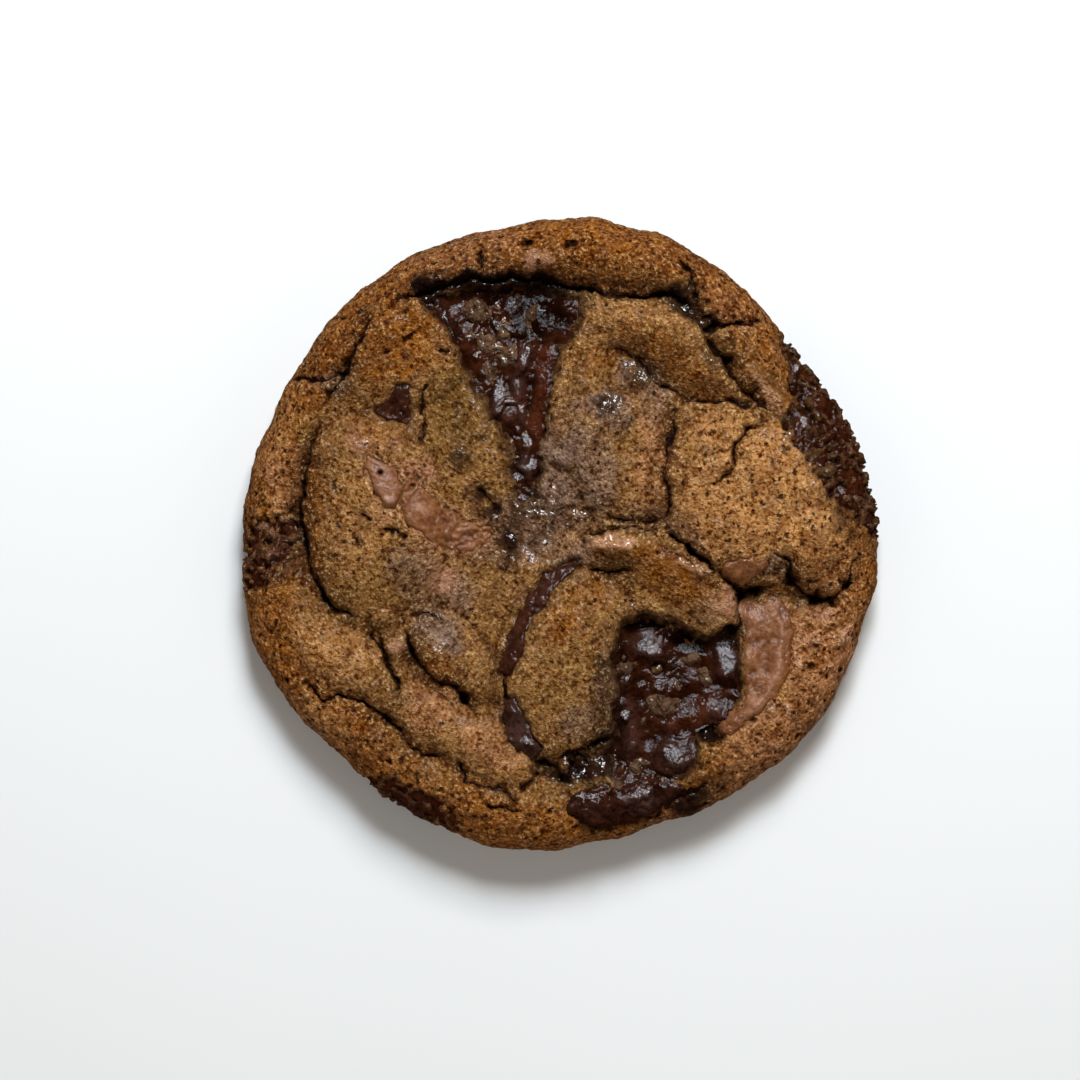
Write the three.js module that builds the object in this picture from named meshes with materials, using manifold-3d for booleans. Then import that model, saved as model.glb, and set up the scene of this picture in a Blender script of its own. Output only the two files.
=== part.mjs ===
// A thick, soft-baked double chocolate cookie lying flat, top up.
//
// Units are millimetres. X runs to the right, Y to the back and Z up; the cookie rests on z = 0 and the
// origin is the middle of its underside. The dough is one solid: a rounded disc whose top is a height map
// of domes, rolls and creases. Each piece of chocolate that shows is cut out of that same disc by an
// upright wall along its outline, so it sits in its own pocket with a small gap all round.

import * as THREE from "three";
import { mergeVertices } from "three/addons/utils/BufferGeometryUtils.js";
import Module from "manifold-3d";

// ---------------------------------------------------------------- driving dimensions

const SIDE_HEIGHT = 5; // mean height of the cookie's widest point
const SIDE_WANDER = 0.9; // how far that height wanders up and down round the cookie
const EDGE_WOBBLE = 0.35; // small unevenness of the outline
const CROWN_HEIGHT = 12.2; // the top before any dome, roll or crease is added
const EDGE_ROUND = 8.5; // how far in from the outline the rounded edge reaches
const EDGE_POWER = 2.3; // 2 is a plain ellipse, more is squarer
const UNDERCUT = 3; // how far the underside stands back from the outline
const CHOCOLATE_GAP = 0.3; // clearance between a piece of chocolate and its pocket

// Waves round the cookie: share of the wander or wobble, crests round it, start, and how far crests are bent.
const SIDE_WAVES = [[0.6, 3, 0.8, 0], [0.4, 7, 2.2, 0]];
const EDGE_WAVES = [[0.6, 17, 0, 1.9], [0.4, 31, 0.4, 0]];
const BENDS_ROUND = 5; // how many times round the cookie the crests bend

// Waves over the top: height, crests along X and along Y, start, and how far crests are bent.
const TOP_WAVES = [[0.4, 1, 0, 0, 1.3], [0.35, -0.8, 0.6, 2.1, 0], [0.25, 0.5, 1.1, 0.6, 0]];
const TOP_BEND = 0.7; // how many times the crests bend over the distance between them
const TOP_WAVE_RISE = 0.25; // height of the broad waves over the whole top
const TOP_WAVE_LENGTH = 13; // distance between their crests
const LUMP_LENGTH = 5.5; // distance between the lumps of melted chocolate

// How creases, rolls and pockets are shaped.
const END_FADE = 2.2; // how quickly a roll or crease rises from its ends
const ROLL_END = 0.55; // share of its height that a roll keeps at its ends
const CREASE_REACH = 6; // half widths of a crease beyond which it does nothing
const CREASE_POWER = 1.5; // how its groove falls: 2 is round, 1 is sharp
const SHOULDER_SHARE = 0.25; // depth of its wide shoulders, as a share of its own
const SHOULDER_WIDTH = 3; // half widths over which its shoulders and its ledge fade
const POCKET_FOOT = 0.6; // how far outside a piece of chocolate's outline the top starts to sink
const POCKET_FLOOR = 1.2; // how far inside it the top has sunk all the way
const RIM_STEP = 6; // degrees between two points of the rolled rim
const LOWER_RINGS = [[0.3, 0.4], [1, 0]]; // rings below the widest point: shares of UNDERCUT and of height
const COLUMN_TOP = 30; // how high the walls that cut out the chocolate reach
const WELD = 1e-4; // corners nearer than this are one corner

// Distance from the middle to the outline, every 15 degrees from +X towards +Y.
const OUTLINE_RADII = [
  52.0, 51.0, 49.5, 49.0, 50.5, 51.6, 51.7, 50.9, 51.6, 51.6, 51.0, 51.6,
  52.3, 53.4, 52.8, 51.4, 52.2, 52.4, 51.6, 50.2, 50.8, 51.6, 51.9, 51.6,
];

// Mesh fineness.
const RINGS = 34; // rings of facets from the middle to the widest point
const EDGE_RINGS = 8; // how many of them lie on the rounded edge
const STEPS_PER_POINT = 3; // straight steps between two points of a smooth line
const GUIDE_REACH = 0.82; // a facet corner nearer than this to a crease or a piece's outline is pulled to it
const GUIDE_REST = 0.16; // and keeps this share of its distance, so that no facet is flattened

// Domes: middle x, y, half lengths along and across, turn in degrees, height.
const DOMES = {
  left: [-31, 2, 12.5, 18, 4, 3.4],
  backLeft: [-25.5, 29.5, 11, 9.5, 25, 2.2],
  right: [31, 5.5, 17.5, 15.5, -12, 4.3],
  rightLobe: [41.5, -3, 7.5, 7.5, 0, 1.7],
  middlePanel: [11, 11.5, 9, 12, 0, 2.0],
  middleRidge: [2, 22, 5.5, 12, -10, 1.6],
  front: [1, -21.5, 12, 16, -12, 3.5],
  lump: [-18.5, -19.5, 10, 6, -48, 2.2],
  nub: [-28, -16.5, 3.6, 4.5, 20, 1.3],
  middleHollow: [-6, 3.5, 12, 9, 10, -1.3],
  innerHollow: [-14, -9, 9, 11, 20, -0.6],
  darkSpeck: [-16.8, 12.1, 1.9, 1.9, 0, 0.7],
  milkSpeck: [-26.8, -18, 1.9, 2.4, 0, 0.9],
};

// Rolls: a rounded bank along a line, with its half width and height.
const ROLLS = {
  backRight: { line: [[3, 36], [13, 34.5], [20, 31.5], [25.5, 26], [30, 22]], half: 6.5, rise: 3.0 },
  frontArc: { line: [[4.5, -2.2], [11, -2], [18, -4.5], [23, -8.5], [26, -13]], half: 6.2, rise: 3.3 },
  frontLeft: { line: [[-44, -11], [-37, -19], [-29, -25.5], [-19, -31.5], [-9, -37]], half: 7.5, rise: 2.6 },
  frontLeftInner: { line: [[-20, -36.5], [-14, -40.5], [-8, -43.5]], half: 3.6, rise: 0.9 },
};

// The rolled rim: start and end angle, inset from the outline, half width and height.
const RIM_ROLLS = {
  back: [52, 128, 5.2, 7.0, 3.1],
  backLeft: [128, 155, 6.0, 7.0, 2.3],
  left: [155, 196, 5.2, 6.0, 2.0],
  backRight: [36, 58, 8.0, 9.0, 2.7],
  frontLeft: [212, 268, 6.5, 7.5, 1.9],
  front: [268, 330, 7.0, 7.0, 1.1],
  right: [330, 362, 3.2, 4.5, 1.2],
};

// Creases: a line along the top, its depth, half width, and how much higher its left side stands.
const CREASES = {
  rimBack: {
    line: [[-30, 35.6], [-24, 38.7], [-13, 41.4], [-1, 40.7], [9, 38.4], [18.5, 38.6], [22.3, 35]],
    depth: 3.2, half: 1.4, step: 0.8,
  },
  rimBackLeft: {
    line: [[-38.8, 19.8], [-36, 25], [-33.4, 28.5], [-32.2, 32.4], [-29, 36.2]],
    depth: 1.9, half: 1.3, step: 0,
  },
  rimLeft: {
    line: [[-38.8, 19.8], [-41.2, 12], [-42.1, 3], [-41, -4.5], [-38.2, -10.8], [-32.2, -13.5]],
    depth: 2.8, half: 1.4, step: 0.7,
  },
  rimGapLeft: { line: [[-45, 25.4], [-39.5, 25], [-35, 26.2]], depth: 1.7, half: 1.2, step: 0 },
  rimGapBack: { line: [[-13.6, 46.4], [-13, 42]], depth: 1.3, half: 1.1, step: 0 },
  rimGapRight: { line: [[22.8, 33.9], [27.5, 33.7], [33.5, 34.8]], depth: 1.7, half: 1.2, step: 0 },
  rimGapCorner: { line: [[18.8, 44.6], [21, 40.5], [22.3, 35.5]], depth: 1.5, half: 1.2, step: 0 },
  rollBackRight: {
    line: [[22.5, 33.4], [25, 29.5], [27.8, 25.4], [31.5, 21.2], [36.3, 20]],
    depth: 1.8, half: 1.7, step: 0.4,
  },
  domeRightBack: {
    line: [[18.6, 20.6], [22.5, 21.5], [28, 21], [32, 20.3]],
    depth: 1.4, half: 1.2, step: -0.5,
  },
  domeRightLeft: {
    line: [[18.6, 20.6], [17.3, 14], [17, 6], [16, 0.8]],
    depth: 1.8, half: 1.2, step: 0.7,
  },
  domeRightFront: {
    line: [[16, 0.8], [19.5, -1.8], [24, -5.6], [28.4, -9], [35.5, -8.4]],
    depth: 3.0, half: 1.4, step: 0.9,
  },
  domeRightNotch: {
    line: [[35, -3.8], [36.3, -6.4], [38.5, -9.4], [42.2, -10.6], [44.6, -9.6]],
    depth: 1.6, half: 1.5, step: 1.0,
  },
  domeRightEnd: {
    line: [[42.6, -10.4], [45.4, -8.8], [47.2, -5], [48.6, -1.6]],
    depth: 0.8, half: 1.4, step: 0.6,
  },
  domeRightCrack: {
    line: [[30.8, 17.4], [27.8, 14.2], [27.9, 11], [25.4, 8.4]],
    depth: 1.0, half: 0.9, step: 0,
  },
  panelFront: { line: [[6.5, 2.8], [11, 2], [15.8, 2.1]], depth: 1.1, half: 1.2, step: 0.4 },
  rollBackFoot: {
    line: [[7, 31.2], [12, 28], [16, 24], [20.5, 22]],
    depth: 1.1, half: 1.8, step: 0.4,
  },
  lumpFront: {
    line: [[-25.4, -13.4], [-24.6, -19.6], [-21, -23.6], [-16.6, -25.4], [-13.6, -30]],
    depth: 1.8, half: 1.2, step: 0.9,
  },
  lumpBack: {
    line: [[-25.4, -13.4], [-22, -12.8], [-18.5, -13.6]],
    depth: 0.9, half: 1.2, step: 0,
  },
  nubLeft: {
    line: [[-32.2, -13.5], [-30, -18.4], [-27.6, -21.4], [-26.9, -28]],
    depth: 1.2, half: 1.2, step: 0,
  },
  frontLeftRoll: {
    line: [[-43, -22], [-39, -26.3], [-35.5, -26], [-28, -30.2], [-22.5, -35.6], [-18, -36.4]],
    depth: 1.5, half: 1.2, step: 0.6,
  },
  frontLeftInner: {
    line: [[-18, -36.4], [-14.6, -40.2], [-9.6, -41.8], [-7.4, -44.4]],
    depth: 1.3, half: 1.2, step: 0.3,
  },
  frontDomeFoot: {
    line: [[-5, -36.8], [-1, -37.2], [3.5, -35.6], [8.4, -31.4]],
    depth: 2.0, half: 1.2, step: 0.8,
  },
  frontArcBack: {
    line: [[3.4, -1.6], [5.6, 0.2], [11, 0.9], [16, 0.2]],
    depth: 1.3, half: 1.2, step: -0.4,
  },
  frontArcFoot: { line: [[4, -5.4], [8, -6.4], [12, -5.8]], depth: 1.2, half: 1.3, step: 0.3 },
};

// Chocolate: the outline seen from above, how far its surface lies under the dough, the height of its own
// lumps, and the height of its underside. A vein is given by its middle line and half widths instead.
const DARK = { colour: 0x3a1c12, roughness: 0.25 };
const MILK = { colour: 0x94614a, roughness: 0.4 };
const CHOCOLATE = {
  dark_melt_back: {
    ...DARK,
    outline: [[-21, 38], [-18.4, 34.5], [-16.4, 29.5], [-13.8, 23], [-11, 18.3], [-8.2, 13],
      [-7.2, 7.6], [-4.3, 9.5], [-3.4, 17], [-1.6, 25], [0.6, 31], [2.4, 36], [1, 39.8], [-8, 40.4],
      [-16, 39.8]],
    sunk: 2.2, lumps: 0.7, underside: 6.5,
  },
  dark_melt_front: {
    ...DARK,
    outline: [[9.2, -16.4], [11.1, -14], [14, -13.3], [17, -14.2], [20.4, -16], [24, -17],
      [28.2, -15.6], [28.5, -21], [28, -27], [25, -31], [21.8, -32.8], [20, -38.5], [14, -40.2],
      [8.8, -39.5], [8.4, -33], [9.2, -27], [8.6, -20]],
    sunk: 3.2, lumps: 0.9, underside: 5.5,
  },
  dark_melt_edge: {
    ...DARK,
    outline: [[1.8, -44], [4, -41.6], [9, -41.4], [14, -41.6], [19.5, -41.8], [20.3, -44.3],
      [14, -46.4], [7, -46.4]],
    sunk: 0.3, lumps: 0.8, underside: 7,
  },
  dark_melt_right: {
    ...DARK,
    outline: [[36.2, 32.6], [37, 27.5], [38, 22.5], [36.2, 18.6], [39.5, 13.8], [42.4, 8], [44.5, 5],
      [48, 2], [54, 2], [55, 12], [50, 24], [42, 33]],
    sunk: 1.6, lumps: 0.6, underside: 4,
  },
  dark_melt_left: {
    ...DARK,
    outline: [[-42.8, 3.6], [-46, 2.8], [-54, 4], [-55, -3], [-54, -9.5], [-49, -8.6], [-45.5, -6],
      [-43.5, -3]],
    sunk: 0.5, lumps: 0.4, underside: 4,
  },
  dark_melt_front_left: {
    ...DARK,
    outline: [[-33.8, -40.2], [-29, -39.8], [-24.5, -41.4], [-20, -44.2], [-17.2, -46.6], [-19, -52],
      [-30, -50], [-37, -43.5]],
    sunk: 0.8, lumps: 0.4, underside: 4,
  },
  dark_chip_back: {
    ...DARK,
    outline: [[-30.4, 19.9], [-28, 21.8], [-26.8, 24], [-24.7, 23.8], [-24.5, 20], [-25, 18.1],
      [-27.5, 18.4]],
    sunk: 0.2, lumps: 0.3, underside: 9.5,
  },
  dark_vein_back: {
    ...DARK,
    vein: [[2.4, -4.4], [-2.2, -7.9], [-5.5, -12.4], [-7.9, -17.4], [-9.2, -22.8]],
    widths: [0.6, 1.2, 1.1, 1.5, 0.7], sunk: 0.7, lumps: 0.2, underside: 8,
  },
  dark_vein_front: {
    ...DARK,
    vein: [[-8.7, -26.9], [-8.1, -30], [-6.6, -33.2], [-4.4, -36]],
    widths: [0.9, 1.6, 1.6, 0.9], sunk: 0.6, lumps: 0.2, underside: 8,
  },
  milk_chunk_right: {
    ...MILK,
    outline: [[29.8, -10.8], [32.2, -11.2], [34.8, -10.4], [37, -13], [37.1, -19], [35.8, -24.5],
      [32, -29], [27.5, -32.5], [25.4, -32.8], [26.8, -30.4], [29.5, -27], [29.8, -20], [29.6, -14]],
    sunk: 0.1, lumps: 0.4, underside: 7,
  },
  milk_chunk_fold: {
    ...MILK,
    outline: [[25.8, -6.5], [27.2, -4.7], [30.5, -4.2], [33.2, -4.7], [31.6, -6.6], [29.6, -8],
      [27.6, -7.6]],
    sunk: 0.3, lumps: 0.2, underside: 9,
  },
  milk_melt_left: {
    ...MILK,
    outline: [[-32, 11.2], [-30.8, 12.5], [-28.4, 11], [-26.9, 9.4], [-26.1, 7.2], [-26.9, 5],
      [-28.4, 4.7], [-29.8, 6.8], [-31, 8.8]],
    sunk: 0.2, lumps: 0.3, underside: 9.5,
  },
  milk_melt_middle: {
    ...MILK,
    outline: [[-25, 7.3], [-22, 7], [-19.6, 3.5], [-17.5, 2.4], [-14, 1.6], [-12.4, -0.6],
      [-15.8, -2.9], [-19, -2], [-23.2, 0.6], [-25.8, 4]],
    sunk: 0.2, lumps: 0.4, underside: 9,
  },
};

const DOUGH = { colour: 0x94602f, roughness: 0.85 };

// ---------------------------------------------------------------- lines on the top

/** Short straight steps along a smooth line through the points. */
function smoothLine(points, closed = false) {
  const knots = points.map(([x, y]) => new THREE.Vector3(x, y, 0));
  const curve = new THREE.CatmullRomCurve3(knots, closed, "centripetal");
  const steps = curve.getPoints(STEPS_PER_POINT * points.length);
  if (closed) steps.pop();
  return steps.map((p) => [p.x, p.y]);
}

/** The nearest place on a line: distance, share of the way along, and 1 on its left or -1 on its right. */
function nearestOn(line, x, y) {
  let best = { distance: Infinity };
  for (let i = 0; i + 1 < line.length; i++) {
    const [ax, ay] = line[i];
    const [bx, by] = line[i + 1];
    const dx = bx - ax;
    const dy = by - ay;
    const t = THREE.MathUtils.clamp(((x - ax) * dx + (y - ay) * dy) / (dx * dx + dy * dy), 0, 1);
    const px = ax + t * dx;
    const py = ay + t * dy;
    const distance = Math.hypot(x - px, y - py);
    if (distance < best.distance) {
      const left = Math.sign(dx * (y - ay) - dy * (x - ax)) || 1;
      best = { distance, px, py, along: (i + t) / (line.length - 1), left };
    }
  }
  return best;
}

/** Distance inside a closed outline; negative outside it. */
function depthInside(outline, x, y) {
  const ring = [...outline, outline[0]];
  let inside = false;
  for (let i = 0; i + 1 < ring.length; i++) {
    const [ax, ay] = ring[i];
    const [bx, by] = ring[i + 1];
    if (ay > y !== by > y && x < ((bx - ax) * (y - ay)) / (by - ay) + ax) inside = !inside;
  }
  const { distance } = nearestOn(ring, x, y);
  return inside ? distance : -distance;
}

/** A band round a line whose half width runs evenly through the given widths. */
function bandOutline(points, widths) {
  const line = smoothLine(points);
  const sides = [[], []];
  line.forEach(([x, y], i) => {
    const [ax, ay] = line[Math.max(i - 1, 0)];
    const [bx, by] = line[Math.min(i + 1, line.length - 1)];
    const length = Math.hypot(bx - ax, by - ay);
    const place = (i / (line.length - 1)) * (widths.length - 1);
    const k = Math.min(Math.floor(place), widths.length - 2);
    const half = THREE.MathUtils.lerp(widths[k], widths[k + 1], place - k);
    const nx = (-(by - ay) / length) * half;
    const ny = ((bx - ax) / length) * half;
    sides[0].push([x - nx, y - ny]);
    sides[1].unshift([x + nx, y + ny]);
  });
  return [...sides[0], ...sides[1]];
}

/** A piece of chocolate's outline as a closed run of steps, counter-clockwise from above. */
function chocolateOutline(piece) {
  let steps;
  if (piece.vein) steps = bandOutline(piece.vein, piece.widths);
  else steps = smoothLine(piece.outline, true);
  const turned = THREE.ShapeUtils.area(steps.map(([x, y]) => new THREE.Vector2(x, y))) < 0;
  return turned ? steps.reverse() : steps;
}

/** Waves round the cookie at an angle in radians. */
function wavesRound(waves, angle) {
  const bend = Math.sin(BENDS_ROUND * angle);
  let height = 0;
  for (const [share, crests, start, bent] of waves) {
    height += share * Math.sin(crests * angle + start + bent * bend);
  }
  return height;
}

/** Distance from the middle to the outline at an angle in radians. */
function outlineRadius(angle) {
  const n = OUTLINE_RADII.length;
  const place = ((angle / (2 * Math.PI)) * n + n) % n;
  const i = Math.floor(place);
  const t = place - i;
  const [a, b, c, d] = [-1, 0, 1, 2].map((k) => OUTLINE_RADII[(i + k + n) % n]);
  const smooth = b + 0.5 * t * (c - a + t * (2 * a - 5 * b + 4 * c - d + t * (3 * (b - c) + d - a)));
  return smooth + EDGE_WOBBLE * wavesRound(EDGE_WAVES, angle);
}

/** A line that follows the outline from one angle to another, in degrees, a set way in from it. */
function rimLine(from, to, inset) {
  const points = [];
  for (let angle = from; angle <= to; angle += RIM_STEP) {
    const a = THREE.MathUtils.degToRad(angle);
    const r = outlineRadius(a) - inset;
    points.push([r * Math.cos(a), r * Math.sin(a)]);
  }
  return points;
}

// ---------------------------------------------------------------- the height of the top

/** 1 in the middle, easing to 0 at a distance of 1 and beyond. */
const bump = (distance) => (distance < 1 ? (1 - distance * distance) ** 2 : 0);

/** 0 at both ends of a line and 1 over its middle. */
const fadeAtEnds = (along) => Math.min(1, Math.sin(Math.PI * along) * END_FADE);

function domeRise([x0, y0, along, across, turn, rise], x, y) {
  const a = THREE.MathUtils.degToRad(turn);
  const u = ((x - x0) * Math.cos(a) + (y - y0) * Math.sin(a)) / along;
  const v = ((y - y0) * Math.cos(a) - (x - x0) * Math.sin(a)) / across;
  const q = u * u + v * v; // squared, so that the dome has a broad top and a steep foot
  return rise * (q < 1 ? 1 - q * q : 0);
}

function rollRise({ line, half, rise }, x, y) {
  const { distance, along } = nearestOn(line, x, y);
  return rise * bump(distance / half) * THREE.MathUtils.lerp(ROLL_END, 1, fadeAtEnds(along));
}

function creaseDrop({ line, depth, half, step }, x, y) {
  const { distance, along, left } = nearestOn(line, x, y);
  if (distance > CREASE_REACH * half) return 0;
  const groove = Math.exp(-((distance / half) ** CREASE_POWER));
  const wide = Math.exp(-((distance / (SHOULDER_WIDTH * half)) ** 2));
  const ledge = left * step * (1 - groove) * wide;
  return fadeAtEnds(along) * (depth * (groove + SHOULDER_SHARE * wide) - ledge);
}

/** Uneven waves about 1 high, with the given distance between crests. */
function waves(x, y, length) {
  const k = (2 * Math.PI) / length;
  const bend = Math.sin(TOP_BEND * k * y);
  let height = 0;
  for (const [size, alongX, alongY, start, bent] of TOP_WAVES) {
    height += size * Math.sin(k * (alongX * x + alongY * y) + start + bent * bend);
  }
  return height;
}

const rolls = [
  ...Object.values(ROLLS).map((roll) => ({ ...roll, line: smoothLine(roll.line) })),
  ...Object.values(RIM_ROLLS).map(([from, to, inset, half, rise]) => {
    return { line: rimLine(from, to, inset), half, rise };
  }),
];
const creases = Object.values(CREASES).map((crease) => ({ ...crease, line: smoothLine(crease.line) }));
const chocolate = Object.entries(CHOCOLATE).map(([name, piece]) => {
  return { ...piece, name, steps: chocolateOutline(piece) };
});

/** How far a piece of chocolate lowers the top, with its own lumps. */
function chocolateDrop(piece, x, y) {
  const depth = depthInside(piece.steps, x, y);
  const share = THREE.MathUtils.smoothstep(depth, -POCKET_FOOT, POCKET_FLOOR);
  return share * (piece.sunk - piece.lumps * waves(x, y, LUMP_LENGTH));
}

function topHeight(x, y) {
  let z = CROWN_HEIGHT + TOP_WAVE_RISE * waves(x, y, TOP_WAVE_LENGTH);
  for (const dome of Object.values(DOMES)) z += domeRise(dome, x, y);
  let roll = 0;
  for (const one of rolls) roll = Math.max(roll, rollRise(one, x, y));
  z += roll;
  for (const crease of creases) z -= creaseDrop(crease, x, y);
  for (const piece of chocolate) z -= chocolateDrop(piece, x, y);
  return z;
}

const guides = [
  ...creases.map((crease) => crease.line),
  ...chocolate.map(({ steps }) => [...steps, steps[0]]),
];

/** Moves a corner almost onto a crease or a chocolate outline, if one is near, so that these run clean. */
function pullToGuide(x, y) {
  let pulled = [x, y];
  let least = GUIDE_REACH;
  for (const line of guides) {
    const near = nearestOn(line, x, y);
    if (near.distance < least) {
      least = near.distance;
      pulled = [near.px + GUIDE_REST * (x - near.px), near.py + GUIDE_REST * (y - near.py)];
    }
  }
  return pulled;
}

/** The height of the widest point, which wanders round the cookie. */
function sideHeight(angle) {
  return SIDE_HEIGHT + SIDE_WANDER * wavesRound(SIDE_WAVES, angle);
}

/** Height of the whole upper surface: the top, and the rounded edge that falls to the widest point. */
function upperHeight(x, y) {
  const angle = Math.atan2(y, x);
  const side = sideHeight(angle);
  const inset = outlineRadius(angle) - Math.hypot(x, y);
  const across = THREE.MathUtils.clamp(1 - inset / EDGE_ROUND, 0, 1);
  const share = (1 - across ** EDGE_POWER) ** (1 / EDGE_POWER);
  return side + (topHeight(x, y) - side) * share;
}

// ---------------------------------------------------------------- solids

/** A point of the upper surface. Ring counts from the middle, and the outermost ring is the widest point. */
function surfacePoint(ring, angle) {
  const radius = outlineRadius(angle);
  if (ring === RINGS) return [radius * Math.cos(angle), radius * Math.sin(angle), sideHeight(angle)];
  const flatRings = RINGS - EDGE_RINGS;
  let r = ((radius - EDGE_ROUND) * ring) / flatRings;
  if (ring > flatRings) {
    const turn = (((ring - flatRings) / EDGE_RINGS) * Math.PI) / 2;
    r = radius - EDGE_ROUND * (1 - Math.sin(turn) ** (2 / EDGE_POWER));
  }
  const [x, y] = pullToGuide(r * Math.cos(angle), r * Math.sin(angle));
  return [x, y, upperHeight(x, y)];
}

/** Adds the top: ring k has 6k corners. Returns the first corner of the outermost ring. */
function addTop(positions, faces) {
  const first = [0];
  positions.push([0, 0, upperHeight(0, 0)]);
  for (let ring = 1; ring <= RINGS; ring++) {
    first.push(positions.length);
    for (let i = 0; i < 6 * ring; i++) positions.push(surfacePoint(ring, (2 * Math.PI * i) / (6 * ring)));
  }
  const corner = (ring, i) => (ring === 0 ? 0 : first[ring] + (i % (6 * ring)));
  for (let ring = 1; ring <= RINGS; ring++) {
    for (let step = 0; step < 6 * ring; step++) {
      const inner = Math.floor(step / ring) * (ring - 1) + (step % ring);
      faces.push([corner(ring, step), corner(ring, step + 1), corner(ring - 1, inner)]);
      const last = step % ring === ring - 1;
      if (!last) faces.push([corner(ring - 1, inner), corner(ring, step + 1), corner(ring - 1, inner + 1)]);
    }
  }
  return first[RINGS];
}

/** Adds the rings below the widest point and the flat underside. */
function addUnderside(positions, faces, widest) {
  const around = 6 * RINGS;
  let above = widest;
  for (const [inset, height] of LOWER_RINGS) {
    const below = positions.length;
    for (let i = 0; i < around; i++) {
      const angle = (2 * Math.PI * i) / around;
      const r = outlineRadius(angle) - UNDERCUT * inset;
      positions.push([r * Math.cos(angle), r * Math.sin(angle), sideHeight(angle) * height]);
    }
    for (let i = 0; i < around; i++) {
      const next = (i + 1) % around;
      faces.push([above + i, below + i, below + next], [above + i, below + next, above + next]);
    }
    above = below;
  }
  const middle = positions.length;
  positions.push([0, 0, 0]);
  for (let i = 0; i < around; i++) faces.push([middle, above + ((i + 1) % around), above + i]);
}

/** The whole cookie as one closed surface. */
function cookieGeometry() {
  const positions = [];
  const faces = [];
  const widest = addTop(positions, faces);
  addUnderside(positions, faces, widest);
  const geometry = new THREE.BufferGeometry();
  geometry.setAttribute("position", new THREE.Float32BufferAttribute(positions.flat(), 3));
  geometry.setIndex(faces.flat());
  return geometry;
}

/** An upright block over an outline, grown outwards by a margin, from a height to well above the cookie. */
function columnGeometry(steps, grow, bottom) {
  const n = steps.length;
  const grown = steps.map(([x, y], i) => {
    const [ax, ay] = steps[(i + n - 1) % n];
    const [bx, by] = steps[(i + 1) % n];
    const length = Math.hypot(bx - ax, by - ay);
    return new THREE.Vector2(x + ((by - ay) / length) * grow, y - ((bx - ax) / length) * grow);
  });
  const settings = { depth: COLUMN_TOP - bottom, bevelEnabled: false };
  return new THREE.ExtrudeGeometry(new THREE.Shape(grown), settings).translate(0, 0, bottom);
}

const wasm = await Module();
wasm.setup();

/** A closed geometry as a solid that can be cut. */
function solidOf(geometry) {
  const bare = geometry.index ? geometry.toNonIndexed() : geometry.clone();
  for (const name of Object.keys(bare.attributes)) if (name !== "position") bare.deleteAttribute(name);
  const merged = mergeVertices(bare, WELD);
  return new wasm.Manifold(
    new wasm.Mesh({
      numProp: 3,
      vertProperties: merged.attributes.position.array,
      triVerts: new Uint32Array(merged.index.array),
    }),
  );
}

/** The largest body of a solid, which drops the scraps that a cut leaves. */
function largestBody(solid) {
  return solid.decompose().reduce((a, b) => (a.volume() > b.volume() ? a : b));
}

function meshOf(solid, name, { colour, roughness }) {
  const { numProp, vertProperties, triVerts } = solid.getMesh();
  const geometry = new THREE.BufferGeometry();
  const positions = [];
  for (let i = 0; i < vertProperties.length; i += numProp) positions.push(...vertProperties.slice(i, i + 3));
  geometry.setAttribute("position", new THREE.Float32BufferAttribute(positions, 3));
  geometry.setIndex(Array.from(triVerts));
  geometry.computeVertexNormals();
  const material = new THREE.MeshStandardMaterial({ color: colour, roughness, metalness: 0 });
  const mesh = new THREE.Mesh(geometry, material);
  mesh.name = name;
  return mesh;
}

// ---------------------------------------------------------------- the cookie

const cookie = new THREE.Group();
const whole = solidOf(cookieGeometry());
let dough = whole;
for (const piece of chocolate) {
  const column = solidOf(columnGeometry(piece.steps, 0, piece.underside));
  const pocket = solidOf(columnGeometry(piece.steps, CHOCOLATE_GAP, piece.underside - CHOCOLATE_GAP));
  cookie.add(meshOf(largestBody(whole.intersect(column)), piece.name, piece));
  dough = dough.subtract(pocket);
}
cookie.add(meshOf(largestBody(dough), "dough", DOUGH));

// The outline is uneven, so the group is shifted to put the origin under the middle of its box.
const box = new THREE.Box3().setFromObject(cookie);
cookie.position.set(-(box.min.x + box.max.x) / 2, -(box.min.y + box.max.y) / 2, 0);

export default cookie;
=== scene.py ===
"""A double chocolate cookie: folded baked dough, melted dark chocolate and milk chocolate, seen from above.

Shapes are worked out in millimetres in the part's own frame and turned into metres when a mesh is made.
X runs to the right, Y to the back and Z up.
"""

import math

import bpy
import numpy as np
from mathutils import Euler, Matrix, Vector


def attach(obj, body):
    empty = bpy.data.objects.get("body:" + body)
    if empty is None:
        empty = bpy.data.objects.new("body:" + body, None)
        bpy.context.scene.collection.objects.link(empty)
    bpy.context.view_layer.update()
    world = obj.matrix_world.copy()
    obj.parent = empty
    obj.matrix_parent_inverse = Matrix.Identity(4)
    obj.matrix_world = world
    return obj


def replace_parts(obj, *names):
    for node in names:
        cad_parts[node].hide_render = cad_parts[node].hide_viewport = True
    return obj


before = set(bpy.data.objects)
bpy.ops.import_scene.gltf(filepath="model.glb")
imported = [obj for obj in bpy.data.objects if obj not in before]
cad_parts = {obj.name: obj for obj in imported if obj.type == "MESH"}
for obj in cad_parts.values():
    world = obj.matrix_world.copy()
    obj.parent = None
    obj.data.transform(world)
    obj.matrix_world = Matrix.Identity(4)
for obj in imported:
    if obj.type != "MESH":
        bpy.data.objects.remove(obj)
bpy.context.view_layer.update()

MM = 0.001  # metres in a millimetre

# ---------------------------------------------------------------- the cookie's named sizes

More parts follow.
